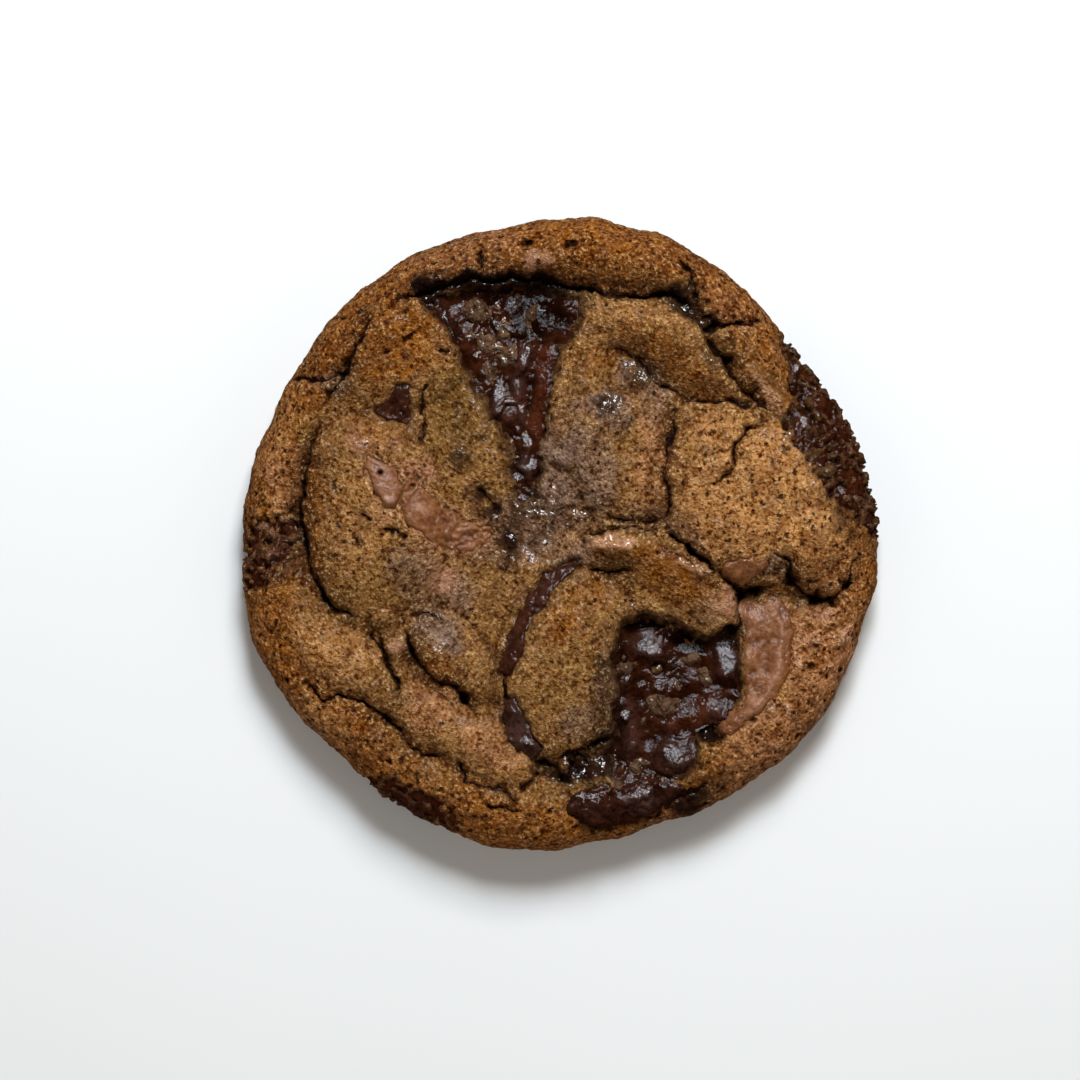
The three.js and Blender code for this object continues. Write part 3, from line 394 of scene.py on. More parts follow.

# Patches of each tone on the crust: x, y, half sizes, turn, strength. Shade is painted shade; amber is partly
# painted shade and glazed partly painted highlight.
TONES = {
    "golden": [
        (-38, -30, 5, 3.4, -40, 0.9), (25, -12.4, 2.6, 2.2, 0, 0.25), (13.6, 8, 3, 7, 0, 0.5),
        (-45, 5, 3, 6, 0, 0.5), (24, 22.6, 2.6, 1.6, -40, 0.5), (38, -6.4, 2, 1.6, 0, 0.5),
        (26, -41, 2, 1.6, 20, 0.4), (32, 7, 17, 15, -12, 1), (42, -4, 7, 6, 0, 0.6), (24, 17, 7, 5, 0, 0.7),
        (-36, -20, 9, 5, -35, 0.6), (-38, -30, 8, 4, -45, 0.5), (-11, -36, 7, 4.5, -35, 0.6),
        (-33, 2, 6, 9, 0, 0.35), (13, 35.5, 9, 3, -8, 0.4), (46.5, -9, 3, 9, 0, 0.4),
        (-46, 15, 5, 12, 0, 0.35), (3.5, -23, 7, 8, 0, 0.15),
    ],
    # Amber: the crust's own saturated orange-brown, and painted shade on sides turned from the light, such as
    # the left wall, the lump's lower side and below the back roll.
    "amber_and_shade": [
        (8, -3, 4.4, 1, -4, 0.8), (-28, 31, 9, 8, 25, 1), (-20, 33, 6, 6, 0, 0.7), (18, -7, 9, 4.5, -28, 1),
        (-41, 2, 2.6, 15, 0, 0.9), (-21, -22.5, 5.5, 2.5, -30, 1), (17, 29, 10, 3.5, -35, 0.8),
        (24, 24, 5, 3, -60, 0.6), (7, 28, 7, 3, 0, 0.6), (-28, -34, 11, 3.2, -33, 0.9),
        (-16, -42, 8, 3, -20, 0.6), (0, -15, 5, 3, 30, 0.7), (8, -3.2, 4.6, 1.2, 0, 0.7),
        (44, -6, 3, 5, 0, 0.6), (2, 46, 24, 6, -4, 0.9), (-28, -34, 4, 3, -30, 0.6), (40, -3, 4, 4, 0, 0.5),
        (5, -10, 5, 3, -20, 0.5), (36, -8.6, 5, 1.5, 0, 0.5), (-29, 16, 6, 3, 0, 0.5),
        (-22, -31, 5, 3, -30, 0.3),
    ],
    "olive": [
        (-18, 21.5, 5, 5.5, 0, 0.9), (-17, 27, 3, 3, 0, 0.5), (3, -25, 9, 8, 0, 0.5),
        (-41.6, 13, 1.8, 8, 8, 0.8), (-36, 24.5, 3.5, 2.2, 20, 0.5), (-16, 14, 7, 5, 0, 0.4),
        (-28, -7, 8, 4, 0, 0.4), (18, 17, 3, 5, 0, 0.4), (-35, -12.5, 4, 2, -40, 0.6),
        (40, -10.8, 6, 1.6, 0, 0.7),
    ],
    "grey": [
        (1, 9, 9, 10, 0, 0.9), (-6, 1, 7, 6, 0, 0.9), (-4, 12, 5, 7, 0, 0.6), (7, 20, 4, 4, -40, 0.9),
        (12, 25, 4.5, 3, -30, 0.9), (15, 22, 3, 6, 0, 0.6), (-19, -10, 6, 5, 0, 0.6),
        (-20, -15.5, 5.5, 3.5, -30, 0.8), (5, -31, 6, 5, 0, 0.5), (24.5, -12.5, 4, 3, 0, 0.3),
        (1, -3, 5, 3, 0, 0.7), (-37, 24.5, 3, 2, 0, 0.8), (34.5, -5, 2.5, 2.5, 0, 0.8),
        (8, -26, 3, 9, 0, 0.6), (-24.5, -6, 5, 5, 0, 0.5), (14, 2.5, 6, 3, 0, 0.5), (19, 0, 5, 2, -30, 0.6),
        (3, 18, 5, 5, 0, 0.5),
    ],
    # Shade: painted shade under rolls, folds and ledges and in hollows.
    "shade": [
        (14.5, 27.6, 6, 1.6, -42, 0.8), (19.6, 22.8, 3, 1.4, -20, 0.5), (-10.5, 1.5, 3.5, 5, 20, 0.6),
        (35, 19.5, 3, 1.5, -30, 0.6), (-14, -3, 3.5, 4, 0, 0.35), (5.4, -38.4, 3.4, 2.2, 0, 0.7),
        (9.4, 17.6, 2, 4, -20, 0.6), (6.6, -28, 2.4, 11, -4, 0.8), (4.4, -37, 4.5, 3, 20, 0.9),
        (-12, 3.8, 3, 6, 35, 0.9), (-15, -3.4, 4, 2, -20, 0.6), (-23.6, -10.6, 2.6, 5.4, 0, 0.4),
        (-23.4, -17, 1.6, 4, 10, 0.5), (8, -38.4, 3, 2, 0, 0.6), (-31, 36, 4, 1.6, 40, 0.5),
        (-9, -4, 4, 3, 10, 0.6), (-16.6, 19, 2, 5, 20, 0.5), (-15, 15, 5, 2, 30, 0.4),
        (8.5, -4.6, 4.5, 1, 0, 0.8), (-20, 38.6, 4.5, 2.4, -20, 0.9), (22, 36, 2.5, 5, 30, 0.7),
        (-19, -12.6, 4, 2, -20, 0.5), (-26, -44, 9, 3.4, -22, 0.5), (-33, -39, 6, 2, -35, 0.4),
        (21, -14.6, 3, 1.4, 0, 0.4), (-47, -4, 5, 3, 0, 0.3), (-28, -34, 5, 3, -33, 0.35),
        (36.6, -7.2, 4.5, 1.2, -10, 0.5), (24, -43, 4, 3, 20, 0.7), (-1.5, 3.4, 4.5, 1.4, 12, 0.5),
        (-11.5, -9, 2.5, 5, 10, 0.35), (-5, -0.4, 5, 3.4, 10, 0.55), (2, 4.4, 7, 3, 5, 0.35),
        (15.4, 2.4, 2.4, 1.4, 0, 0.6), (2.6, 26, 1.4, 5, -8, 0.4), (-24, 14.4, 3, 2, 20, 0.35),
    ],
    # Glazed: the pale glossy milk chocolate bits, and painted highlight along the crests of the nose and the
    # back roll.
    "glaze_and_highlight": [
        (25.4, -12, 2.2, 2.4, 0, 0.35), (8.2, -1.5, 4.4, 1.2, -4, 1), (21, -5.2, 5.4, 1, -26, 0.4),
        (26.9, -10.6, 1.5, 3.6, 14, 0.9), (26.9, -6.8, 2, 1, 0, 0.5), (-19.4, -7.4, 2.3, 2.7, 30, 0.6),
        (-26.9, -17.9, 1.7, 1.8, 0, 1), (-4.2, 44, 2.8, 1.6, 20, 0.8), (43.6, -13.4, 1.7, 1.3, 20, 0.8),
        (40.4, -16.6, 1.4, 1.3, 0, 0.9), (38.6, -20.4, 0.8, 1.8, 30, 0.8), (45.6, -16.4, 1.2, 1.4, 0, 0.7),
        (34.6, -11, 2.6, 1, 0, 0.7), (33, 23.4, 6, 1, -52, 0.5), (-33, 14.4, 3, 1.2, -18, 0.9),
    ],
    "rosy": [
        (15, 12, 4, 11, 0, 0.5), (27, 36, 6, 4, -40, 0.4), (-45, 8, 4, 7, 0, 0.6),
        (-20, -27, 7, 3, -38, 0.7), (-6, 11, 2, 4, 0, 0.6), (42, -20, 8, 12, 15, 0.9),
        (34, -34, 10, 8, 35, 0.8), (45, -8, 4, 6, 0, 0.5), (-12, -34, 7, 4, -35, 0.6),
        (-22, -30, 5, 3, -35, 0.5), (-16, 45, 12, 5, 15, 0.4), (27.5, -12.5, 2, 4, 14, 0.5),
    ],
    "wet": [
        (1.5, -38.2, 5, 3.4, 0, 0.8), (-4, 4, 5, 2.5, 10, 0.6), (19.6, 38, 2.6, 4, 32, 0.95),
        (23.4, 35.2, 2.5, 1.6, -30, 0.9), (-20, 40, 5.5, 1.8, -18, 0.95), (-10, 40.4, 15, 2.2, -2, 1.4),
        (-20.6, 38.4, 4.5, 1.6, -40, 1.2), (21, -43.6, 4, 2.6, 20, 0.9), (7.4, 20.6, 2.6, 3, -40, 0.75),
        (12.4, 25.8, 2.8, 1.8, -30, 0.75), (-8.6, -0.8, 1.3, 2.8, 10, 0.95), (-7.4, 4, 1.5, 4, 12, 0.95),
        (-12.4, 5, 1.2, 3.8, 38, 0.7), (-3.2, 3, 3, 0.9, 8, 0.7), (-47.5, -3.6, 5, 5, 0, 0.35),
        (-26, -43.8, 9, 3.6, -22, 0.85), (47, 2.4, 4, 4.6, 0, 0.7), (-16.9, 12.2, 1.7, 1.8, 0, 1),
        (-5.4, 7, 3, 4, 0, 0.8), (24.6, 27.4, 1.2, 3, 35, 0.6), (3.6, -35.8, 6, 0.9, 25, 0.8),
        (-4.2, -38.4, 2, 1.6, 0, 0.6), (25.5, -39.5, 3.4, 2.4, 30, 0.45),
    ],
    # Milk: smears of milk chocolate; the patch on the nose's crest also paints a pinkish highlight.
    "milk": [
        (-22.6, 10.4, 3, 2.4, -30, 0.6), (-30.6, 13.2, 3, 1.8, -20, 0.6), (-28.6, 2.6, 2, 2.4, 0, 0.4),
        (-21.6, -3.6, 4, 2, -35, 0.5), (-25, 10.6, 2.6, 2.4, 0, 0.9), (-33, 14.3, 2.9, 1.4, -18, 0.95),
        (-34.5, 17, 2.2, 2.4, 0, 0.4), (-29, 14.5, 3.4, 2, -10, 0.4), (-19.5, -7.5, 2.7, 3.2, 30, 0.9),
        (-19, -12, 2.4, 2, 0, 0.3), (-4.2, 44, 2.8, 1.8, 20, 0.95), (26.9, -10.6, 1.5, 3.6, 14, 0.9),
        (21, -5.4, 3.4, 1.1, -16, 0.25), (43.6, -13.4, 1.7, 1.4, 20, 0.7), (40.4, -16.6, 1.5, 1.4, 0, 0.6),
        (-26.9, -17.9, 1.8, 2, 0, 1), (7.8, -1.2, 3.8, 1, -4, 0.4), (-12, 49, 3, 1.4, 0, 0.3),
        (37, -28.5, 1.2, 1.2, 0, 0.8), (46, -16, 1.2, 1.6, 0, 0.5), (38.6, -20.5, 0.8, 1.6, 30, 0.6),
    ],
    "stained": [
        (-47.5, -4, 5, 5, 0, 0.8), (-26, -44, 9, 3.8, -22, 0.9), (45, 18, 3, 12, 25, 0.5),
        (48, 4, 4, 5, 0, 0.4), (20, -45, 3.4, 2, 20, 0.8),
    ],
    "melted": [
        (-10, 40.5, 13, 1.5, -2, 1.5), (-21, 38.6, 4.5, 1.3, -42, 1.3), (2.5, -38.2, 5.5, 2, 8, 0.9),
        (6.8, -36, 2.2, 5, -10, 0.9), (-3.4, -38.4, 1.8, 1.6, 0, 0.7), (21, 36.6, 1.4, 3.4, 30, 0.9),
        (-12, 4.4, 0.9, 3.4, 38, 0.8), (-8.6, -0.8, 0.8, 2.2, 10, 0.9), (24.4, -33.2, 2, 1.2, 0, 0.9),
        (21, -43.8, 3.6, 2, 20, 0.9),
    ],
    "sheen": [
        (8, -1.7, 5, 1.7, -4, 1), (20, -5.6, 5, 1.6, -16, 0.9), (27, -10.5, 2, 4, 14, 1),
        (-33, 14.4, 3.2, 1.6, -18, 0.9), (1, 4, 6, 2, 4, 0.8), (7, 20.5, 3, 3, -40, 0.9),
        (12.5, 25.8, 3, 2, -30, 0.9), (33.5, 25, 9, 1.6, -50, 0.5), (-19.5, -7.5, 2.6, 3, 30, 0.7),
        (-4.2, 44, 2.6, 1.8, 20, 0.8), (-26.9, -17.9, 1.6, 1.8, 0, 0.9), (-6, -2, 5, 4, 0, 0.5),
        (-1, 12, 5, 6, 0, 0.5), (2, 8, 4, 4, 0, 0.5), (43.6, -13.4, 1.5, 1.3, 20, 0.7),
        (24.5, -12.5, 3, 2, 0, 0.6), (-19, -19, 2, 1.6, 0, 0.5),
    ],
    "porous": [
        (32, 7, 17, 15, -12, 1), (-31, 2, 12, 14, 0, 0.5), (11, 12, 8, 12, 0, 0.6),
        (-26, 29, 10, 9, 0, 0.35), (1, -21, 12, 14, 0, 0.25),
    ],
    "crumbly": [
        (45.6, -7, 3, 5, 20, 1), (34, -7.4, 4, 2, 0, 1), (8, 20, 3, 3, 0, 0.8),
        (12.4, 25.4, 3, 2, -30, 0.8), (-4, 3, 6, 4, 0, 0.5), (40, -27, 15, 17, 30, 1),
        (1.5, -38.2, 6, 4, 0, 1), (-47, -2, 6, 8, 0, 1), (-26, -44, 11, 4, -22, 1),
        (40, -9.5, 9, 2.4, 0, 0.8), (27, -38, 9, 6, 30, 1), (-37, 24.5, 3.4, 2.2, 0, 0.6),
    ],
}

TONE_RAGGED = 1.1  # share of the drift by which the edges of patches are turned ragged

# Tones that grow towards the rim: strength, how far their edge wanders, and how far in from the outline
# they start and are full.
RIM_TONES = {
    "rim": (1, 2, 10.5, 4.5),
    "shade": (0.45, 0.8, 2.6, -0.2),
    "crumbly": (1, 1, 11, 5),
    "porous": (0.75, 0, 11, 4),
}

# ---------------------------------------------------------------- unevenness

# Layers of noise: height, distance between bumps and seed.
DRIFT_LAYERS = [
    [(1, 3.2, 11), (0.5, 1.4, 12), (0.3, 0.75, 15)],
    [(1, 3.2, 13), (0.5, 1.4, 14), (0.3, 0.75, 16)],
]
GAP_LAYERS = [(1.1, 3.6, 24), (0.6, 1.3, 25)]
CRUST_LAYERS = [(0.17, 3.1, 41), (0.1, 1.5, 42), (0.06, 0.8, 43)]
POOL_CRUMB_LAYERS = [(1, 2.6, 49), (0.5, 1.2, 50)]
RIM_CRUMB_LAYERS = [(1, 1.6, 63), (0.5, 0.9, 64)]
GLEAM_LAYERS = [(0.15, 1.3, 61), (0.07, 0.6, 62)]

# Single kinds of unevenness: distance between bumps and seed.
CROWN_SWELLS = (9, 21)
TONE_MOTTLE = (4, 31)
RIM_WANDER = (7, 33)
STAIN_REACH = (2.4, 35)
STAIN_SPOTS = (1.3, 36)
RIM_GRAINS = (1.15, 40)
PITS = (1.5, 44)
CRUMB_HEAPS = (3.1, 45)
CRUMB_GRAINS = (1.6, 46)
CRUMB_DUST = (0.9, 47)
RAGGED_EDGES = (1.5, 48)
LIP_GRAINS = (1.0, 60)
POOL_FLOW = [(5, 51), (5, 52), (5, 53)]
POOL_BILLOWS = (4.6, 54)
POOL_SMALL_BILLOWS = (2.0, 55)
POOL_GRAINS = (1.15, 56)
POOL_RIPPLES = (0.7, 57)
POOL_MOTTLE = (3.4, 58)
POOL_BUSY = (5.5, 59)

# Textures are turned in space, so that their squares don't line up with the flat top.
TEXTURE_TURN = (0.62, 0.48, 0.9)
TURNED = np.array(Euler(TEXTURE_TURN).to_matrix())


def cells_of(points, size):
    """The whole-number cell that each point lies in, and its place inside the cell."""
    p = np.asarray(points, float) @ TURNED / size
    cell = np.floor(p).astype(np.int64)
    return cell, p - cell


def mixed_bits(cell, seed):
    """A well-mixed 32-bit number for each cell."""
    i, j, k = np.moveaxis(cell, -1, 0)
    h = ((i * 73856093) ^ (j * 19349663) ^ (k * 83492791) ^ (seed * 2654435761)) & 0xFFFFFFFF
    for _ in range(2):
        h = (((h >> 16) ^ h) * 0x45D9F3B) & 0xFFFFFFFF
    return (h >> 16) ^ h


def noise(points, size, seed):
    """Smooth noise from about -1 to 1 at points in space, with bumps about a size apart."""
    cell, f = cells_of(points, size)
    ease = f * f * f * (f * (f * 6 - 15) + 10)
    total = np.zeros(f.shape[:-1])
    for corner in range(8):
        d = np.array([corner & 1, corner >> 1 & 1, corner >> 2 & 1])
        h = mixed_bits(cell + d, seed)
        away = f - d
        slope = sum(((h >> (8 * axis) & 255) / 127.5 - 1) * away[..., axis] for axis in range(3))
        total += np.prod(np.where(d, ease, 1 - ease), axis=-1) * slope
    return 1.6 * total


def rough(points, size, seed):
    """Noise with two layers added, each with bumps half as high and half as far apart."""
    return sum(0.5**i * noise(points, size / 2**i, seed + i) for i in range(3))


def layered(points, layers, base=0.0):
    """A base height with layers of noise added."""
    return sum((height * noise(points, size, seed) for height, size, seed in layers), base)


def grains(points, size, seed):
    """Rounded grains about a size apart: 1 at the middle of a grain, falling to about 0 between them."""
    cell, f = cells_of(points, size)
    nearest = np.full(f.shape[:-1], 9.0)
    for place in np.ndindex(3, 3, 3):
        d = np.array(place) - 1
        h = mixed_bits(cell + d, seed)
        away = (f[..., axis] - d[axis] - (h >> (8 * axis) & 255) / 255 for axis in range(3))
        nearest = np.minimum(nearest, sum(a**2 for a in away))
    return np.clip(1 - 1.7 * nearest, 0, 1)


def billows(points, size, seed):
    """Rounded swellings about a size apart, with sharp valleys between them, from about -0.7 to 1."""
    return 2.4 * np.abs(noise(points, size, seed)) - 0.7


def flat(x, y):
    """Points on the plane, for noise that doesn't depend on height."""
    return np.stack([x, y, np.zeros_like(x)], axis=-1)


def drift(x, y):
    """A random step for each point, of about a millimetre, by which smooth lines are turned ragged."""
    return np.stack([layered(flat(x, y), layers) for layers in DRIFT_LAYERS])


# ---------------------------------------------------------------- lines and soft shapes on the top


def spline(a, b, c, d, t):
    """A smooth curve from b to c, as one in a row of points from a to d, at shares t of the way."""
    return b + 0.5 * t * (c - a + t * (2 * a - 5 * b + 4 * c - d + t * (3 * (b - c) + d - a)))


LINE_STEPS = 5  # straight steps between two points of a line


def smooth_line(points, closed=False):
    """Short straight steps along a smooth line through the points."""
    p = np.array(points, float)
    if closed:
        q = np.vstack([p[-1], p, p[0], p[1]])
    else:
        q = np.vstack([2 * p[0] - p[1], p, 2 * p[-1] - p[-2]])
    t = (np.arange(LINE_STEPS) / LINE_STEPS)[:, None]
    runs = [spline(*four, t) for four in zip(q, q[1:], q[2:], q[3:])]
    return np.vstack([*runs, p[0] if closed else p[-1]])


def nearest_on(line, x, y, reach):
    """Distance to a line, up to a reach, share of the way along it, and 1 on its left or -1 on its right."""
    distance = np.full(x.shape, float(reach))
    along = np.zeros(x.shape)
    left = np.ones(x.shape)
    near = (x > line[:, 0].min() - reach) & (x < line[:, 0].max() + reach)
    near &= (y > line[:, 1].min() - reach) & (y < line[:, 1].max() + reach)
    px, py = x[near], y[near]
    best, share, side = distance[near], along[near], left[near]
    for i, ((ax, ay), (bx, by)) in enumerate(zip(line, line[1:])):
        dx, dy = bx - ax, by - ay
        t = np.clip(((px - ax) * dx + (py - ay) * dy) / max(dx * dx + dy * dy, 1e-12), 0, 1)
        d = np.hypot(px - ax - t * dx, py - ay - t * dy)
        closer = d < best
        best = np.where(closer, d, best)
        share = np.where(closer, (i + t) / (len(line) - 1), share)
        side = np.where(closer, np.where(dx * (py - ay) - dy * (px - ax) < 0, -1, 1), side)
    distance[near], along[near], left[near] = best, share, side
    return distance, along, left


def depth_inside(ring, x, y):
    """Distance inside a closed ring of steps, negative outside it, up to DEPTH_REACH either way."""
    distance, _, _ = nearest_on(ring, x, y, DEPTH_REACH)
    near = (x > ring[:, 0].min()) & (x < ring[:, 0].max())
    near &= (y > ring[:, 1].min()) & (y < ring[:, 1].max())
    px, py = x[near], y[near]
    odd = np.zeros(px.shape, bool)
    for (ax, ay), (bx, by) in zip(ring, ring[1:]):
        if ay != by:
            odd ^= ((ay > py) != (by > py)) & (px < (bx - ax) * (py - ay) / (by - ay) + ax)
    inside = np.zeros(x.shape, bool)
    inside[near] = odd
    return np.where(inside, distance, -distance)


def band_ring(points, widths):
    """The closed ring round a line whose half width runs evenly through the given widths."""
    line = smooth_line(points)
    ahead = np.vstack([line[1:], 2 * line[-1] - line[-2]])
    behind = np.vstack([2 * line[0] - line[1], line[:-1]])
    way = (ahead - behind) / np.linalg.norm(ahead - behind, axis=1)[:, None]
    half = np.interp(np.linspace(0, len(widths) - 1, len(line)), range(len(widths)), widths)[:, None]
    aside = np.stack([-way[:, 1], way[:, 0]], axis=1) * half
    ring = np.vstack([line - aside, (line + aside)[::-1]])
    return np.vstack([ring, ring[0]])


def ring_of(piece):
    """The outline of a piece of chocolate as a closed ring of steps."""
    if "vein" in piece:
        return band_ring(piece["vein"], piece["widths"])
    return smooth_line(piece["outline"], closed=True)


def outline_radius(angle):
    """Distance from the middle to the outline."""
    n = len(OUTLINE_RADII)
    place = np.mod(angle / (2 * math.pi) * n, n)
    i = np.floor(place).astype(int)
    radii = np.array(OUTLINE_RADII)
    smooth = spline(*(radii[(i + k) % n] for k in (-1, 0, 1, 2)), place - i)
    wobble = 0.6 * np.sin(17 * angle + 1.9 * np.sin(5 * angle)) + 0.4 * np.sin(31 * angle + 0.4)
    return smooth + EDGE_WOBBLE * wobble


def inset_at(x, y):
    """How far in from the outline each point lies."""
    return outline_radius(np.arctan2(y, x)) - np.hypot(x, y)


def around(angle, radius):
    """Points at angles and distances from the middle."""
    return np.stack([radius * np.cos(angle), radius * np.sin(angle)], axis=-1)


def rim_line(start, end, inset):
    """A line that follows the outline from one angle to another, in degrees, a set way in from it."""
    angle = np.radians(np.arange(start, end + 0.1, 4))
    return around(angle, outline_radius(angle) - inset)


def smoothstep(x, low, high):
    """0 up to low and 1 from high on, with a soft rise between them."""
    t = np.clip((x - low) / (high - low), 0, 1)
    return t * t * (3 - 2 * t)


def bell(x, power=2):
    """1 at 0, falling to nothing away from it, the more sharply the higher the power."""
    return np.exp(-(x**power))


def oval(x, y, x0, y0, along, across, turn):
    """Squared distance from the middle of an oval, 1 on its edge."""
    a = math.radians(turn)
    u = ((x - x0) * math.cos(a) + (y - y0) * math.sin(a)) / along
    v = ((y - y0) * math.cos(a) - (x - x0) * math.sin(a)) / across
    return u * u + v * v


def blob(x, y, shape):
    """1 in the middle of an oval and 0 from its edge on, with a soft fall."""
    return 1 - np.minimum(oval(x, y, *shape), 1) ** 2


def mound(x, y, shape, power):
    """1 in the middle of an oval, falling at its edge, the more sharply the higher the power."""
    return bell(oval(x, y, *shape), power)


def fade_at_ends(along):
    """0 at both ends of a line and 1 over its middle."""
    return np.minimum(1, np.sin(math.pi * along) * 2.2)


# The outline is uneven, so the shapes are shifted to put the middle of their box at the origin.
_turn = np.linspace(0, 2 * math.pi, 2000)
_ring = around(_turn, outline_radius(_turn))
SHIFT = -(_ring.max(axis=0) + _ring.min(axis=0)) / 2

ROLL_LINES = [(smooth_line(line), half, rise) for line, half, rise in ROLLS.values()]
ROLL_LINES += [(rim_line(a, b, inset), half, rise) for a, b, inset, half, rise in RIM_ROLLS.values()]
CREASE_LINES = [(smooth_line(line), *sizes) for line, *sizes in CREASES.values()]
CRACK_LINES = [(smooth_line(line), *sizes) for line, *sizes in CRACKS.values()]
RIBBON_LINES = [(smooth_line(line), *sizes) for line, *sizes in RIBBONS]
RINGS_OF = {name: ring_of(piece) for name, piece in CHOCOLATE.items()}

# ---------------------------------------------------------------- the height of the top

CROWN_UNEVEN = 0.25  # height of the crown's broad swells
CREASE_RAGGED = 0.75  # share of the drift by which creases and cracks are turned ragged
CREASE_SPREAD = 6  # half widths from a crease's line to where it ends
STEP_HEIGHT = 1.3  # height of a crease's higher side for each millimetre of its step
STEP_ROUND = 0.5  # how far from the line that side reaches its height
LIP_PLACE = 0.9  # distance of the crumbs from the line of a crease
LIP_SPREAD = 0.8  # how far those crumbs spread
VALLEY_SHARE = 0.65  # share of a crease's depth that is a wide valley
CUT_SHARE = 0.45  # share of it that is a narrow cut, where its gap is open
CUT_WIDTH = 1.4  # half width of that cut in half widths of the gap
FULL_DEPTH = 1.8  # depth of a crease whose gap has its full width
GAP = 0.27  # half width of the gap along a crease, painted dark as shade
GAP_OPEN = 0.75  # mean openness of the gaps
GAP_LEAST = 0.17  # half width of the narrowest gap
GAP_REACH = 3  # how many half widths from a gap's middle its painted shade falls to 0


def gap_shade_mask(distance, half, strength):
    """Painted shade in a gap: 1 in its middle, falling evenly, so that the material can cut a crisp dark edge
    in it.
    """
    return strength * np.maximum(1 - distance / (GAP_REACH * np.maximum(half, GAP_LEAST)), 0)


def roll_height(x, y):
    """Height of the highest roll at each point."""
    height = np.zeros_like(x)
    for line, half, rise in ROLL_LINES:
        distance, along, _ = nearest_on(line, x, y, half)
        bank = (1 - (distance / half) ** 2) ** 2
        height = np.maximum(height, rise * bank * (0.55 + 0.45 * fade_at_ends(along)))
    return height


def relief(x, y):
    """Height of the dough's top without chocolate, with masks of painted shade in its gaps and valleys and of
    its lips, which are painted lighter as highlight.
    """
    p = flat(x, y)
    z = CROWN_HEIGHT + CROWN_UNEVEN * rough(p, *CROWN_SWELLS)
    for *shape, rise in DOMES.values():
        z += rise * blob(x, y, shape)
    z += roll_height(x, y)
    wx, wy = (x, y) + CREASE_RAGGED * drift(x, y)
    for *shape, rise in BUMPS:
        z += rise * mound(wx, wy, shape, 1.5)
    gap, lip, low = (np.zeros_like(z) for _ in range(3))
    openness = np.clip(layered(p, GAP_LAYERS, GAP_OPEN), 0.05, 1.5)
    for line, depth, half, step in CREASE_LINES:
        distance, along, left = nearest_on(line, wx, wy, CREASE_SPREAD * half)
        way = line[-1] - line[0]
        above = left * way[0] / np.hypot(*way)  # 1 on the side towards the back, -1 on the other
        reach = half * np.where(above > 0, 0.75 + 0.55 * above, 0.75 + 0.35 * above)
        fade = fade_at_ends(along) * (distance < CREASE_SPREAD * half)
        valley = np.exp(-distance / reach)
        cut = bell(distance / (CUT_WIDTH * GAP))
        ledge = left * step * (1 - np.exp(-distance / STEP_ROUND)) * bell(distance / (3 * half))
        z -= fade * (depth * (VALLEY_SHARE * valley + CUT_SHARE * cut * openness) - STEP_HEIGHT * ledge)
        # painted shade in the crease's gap
        gap = np.maximum(gap, gap_shade_mask(distance, GAP * openness * min(1.2, depth / FULL_DEPTH), fade))
        # crumbs on the lower side of the crease, raised and painted lighter as highlight
        crumbs = bell((distance - LIP_PLACE) / LIP_SPREAD) * np.clip(0.35 - above, 0, 1)
        lip = np.maximum(lip, fade * crumbs)
        # painted shade in the valley round the crease
        low = np.maximum(low, fade * min(1, depth / 2) * np.exp(-distance / (2.2 * reach)))
    for line, depth, half in CRACK_LINES:
        distance, along, _ = nearest_on(line, wx, wy, 4 * half)
        fade = fade_at_ends(along) * (distance < 4 * half)
        z -= depth * fade * bell(distance / half)
        gap = np.maximum(gap, gap_shade_mask(distance, 0.7 * half * openness, fade))
    for x0, y0, radius, depth in HOLES.values():
        distance = np.hypot(wx - x0, wy - y0)
        z -= depth * bell(distance / radius, 4)
        gap = np.maximum(gap, gap_shade_mask(distance, 0.75 * radius, 1.0))
    return z, np.stack([gap, lip, low], axis=-1)


def side_height(angle):
    """The height of the widest point, which wanders round the cookie."""
    return SIDE_HEIGHT + SIDE_WANDER * (0.6 * np.sin(3 * angle + 0.8) + 0.4 * np.sin(7 * angle + 2.2))


def upper_surface(x, y):
    """Height of the whole upper surface, with its rounded edge, and its masks of painted shade in gaps and
    valleys and of painted highlight on lips.
    """
    side = side_height(np.arctan2(y, x))
    across = np.clip(1 - inset_at(x, y) / EDGE_ROUND, 0, 1)
    share = (1 - across**EDGE_POWER) ** (1 / EDGE_POWER)
    top, shade = relief(x, y)
    return side + (top - side) * share, shade * smoothstep(share, 0.1, 0.6)[..., None]


def top_points(flat_xy):
    """Places on the plane lifted to the upper surface, with the masks there."""
    z, shade = upper_surface(flat_xy[..., 0], flat_xy[..., 1])
    return np.concatenate([flat_xy, z[..., None]], axis=-1), shade


def rounded_edge(angle, share):
    """Points on the rounded edge, from its inner end (share 0) over the widest point (1) to below (1.5)."""
    if share > 1:
        below = min((share - 1) * 2, 1)
        inset = UNDERCUT * (1 - math.sqrt(1 - below**2))
    else:
        inset = EDGE_ROUND * (1 - math.sin(share * math.pi / 2) ** (2 / EDGE_POWER))
    points, shade = top_points(around(angle, outline_radius(angle) - inset))
    if share < 1:
        return points, shade
    points[..., 2] = side_height(angle) * (1 - below if share > 1 else 1)
    return points, 0 * shade


# ---------------------------------------------------------------- meshes


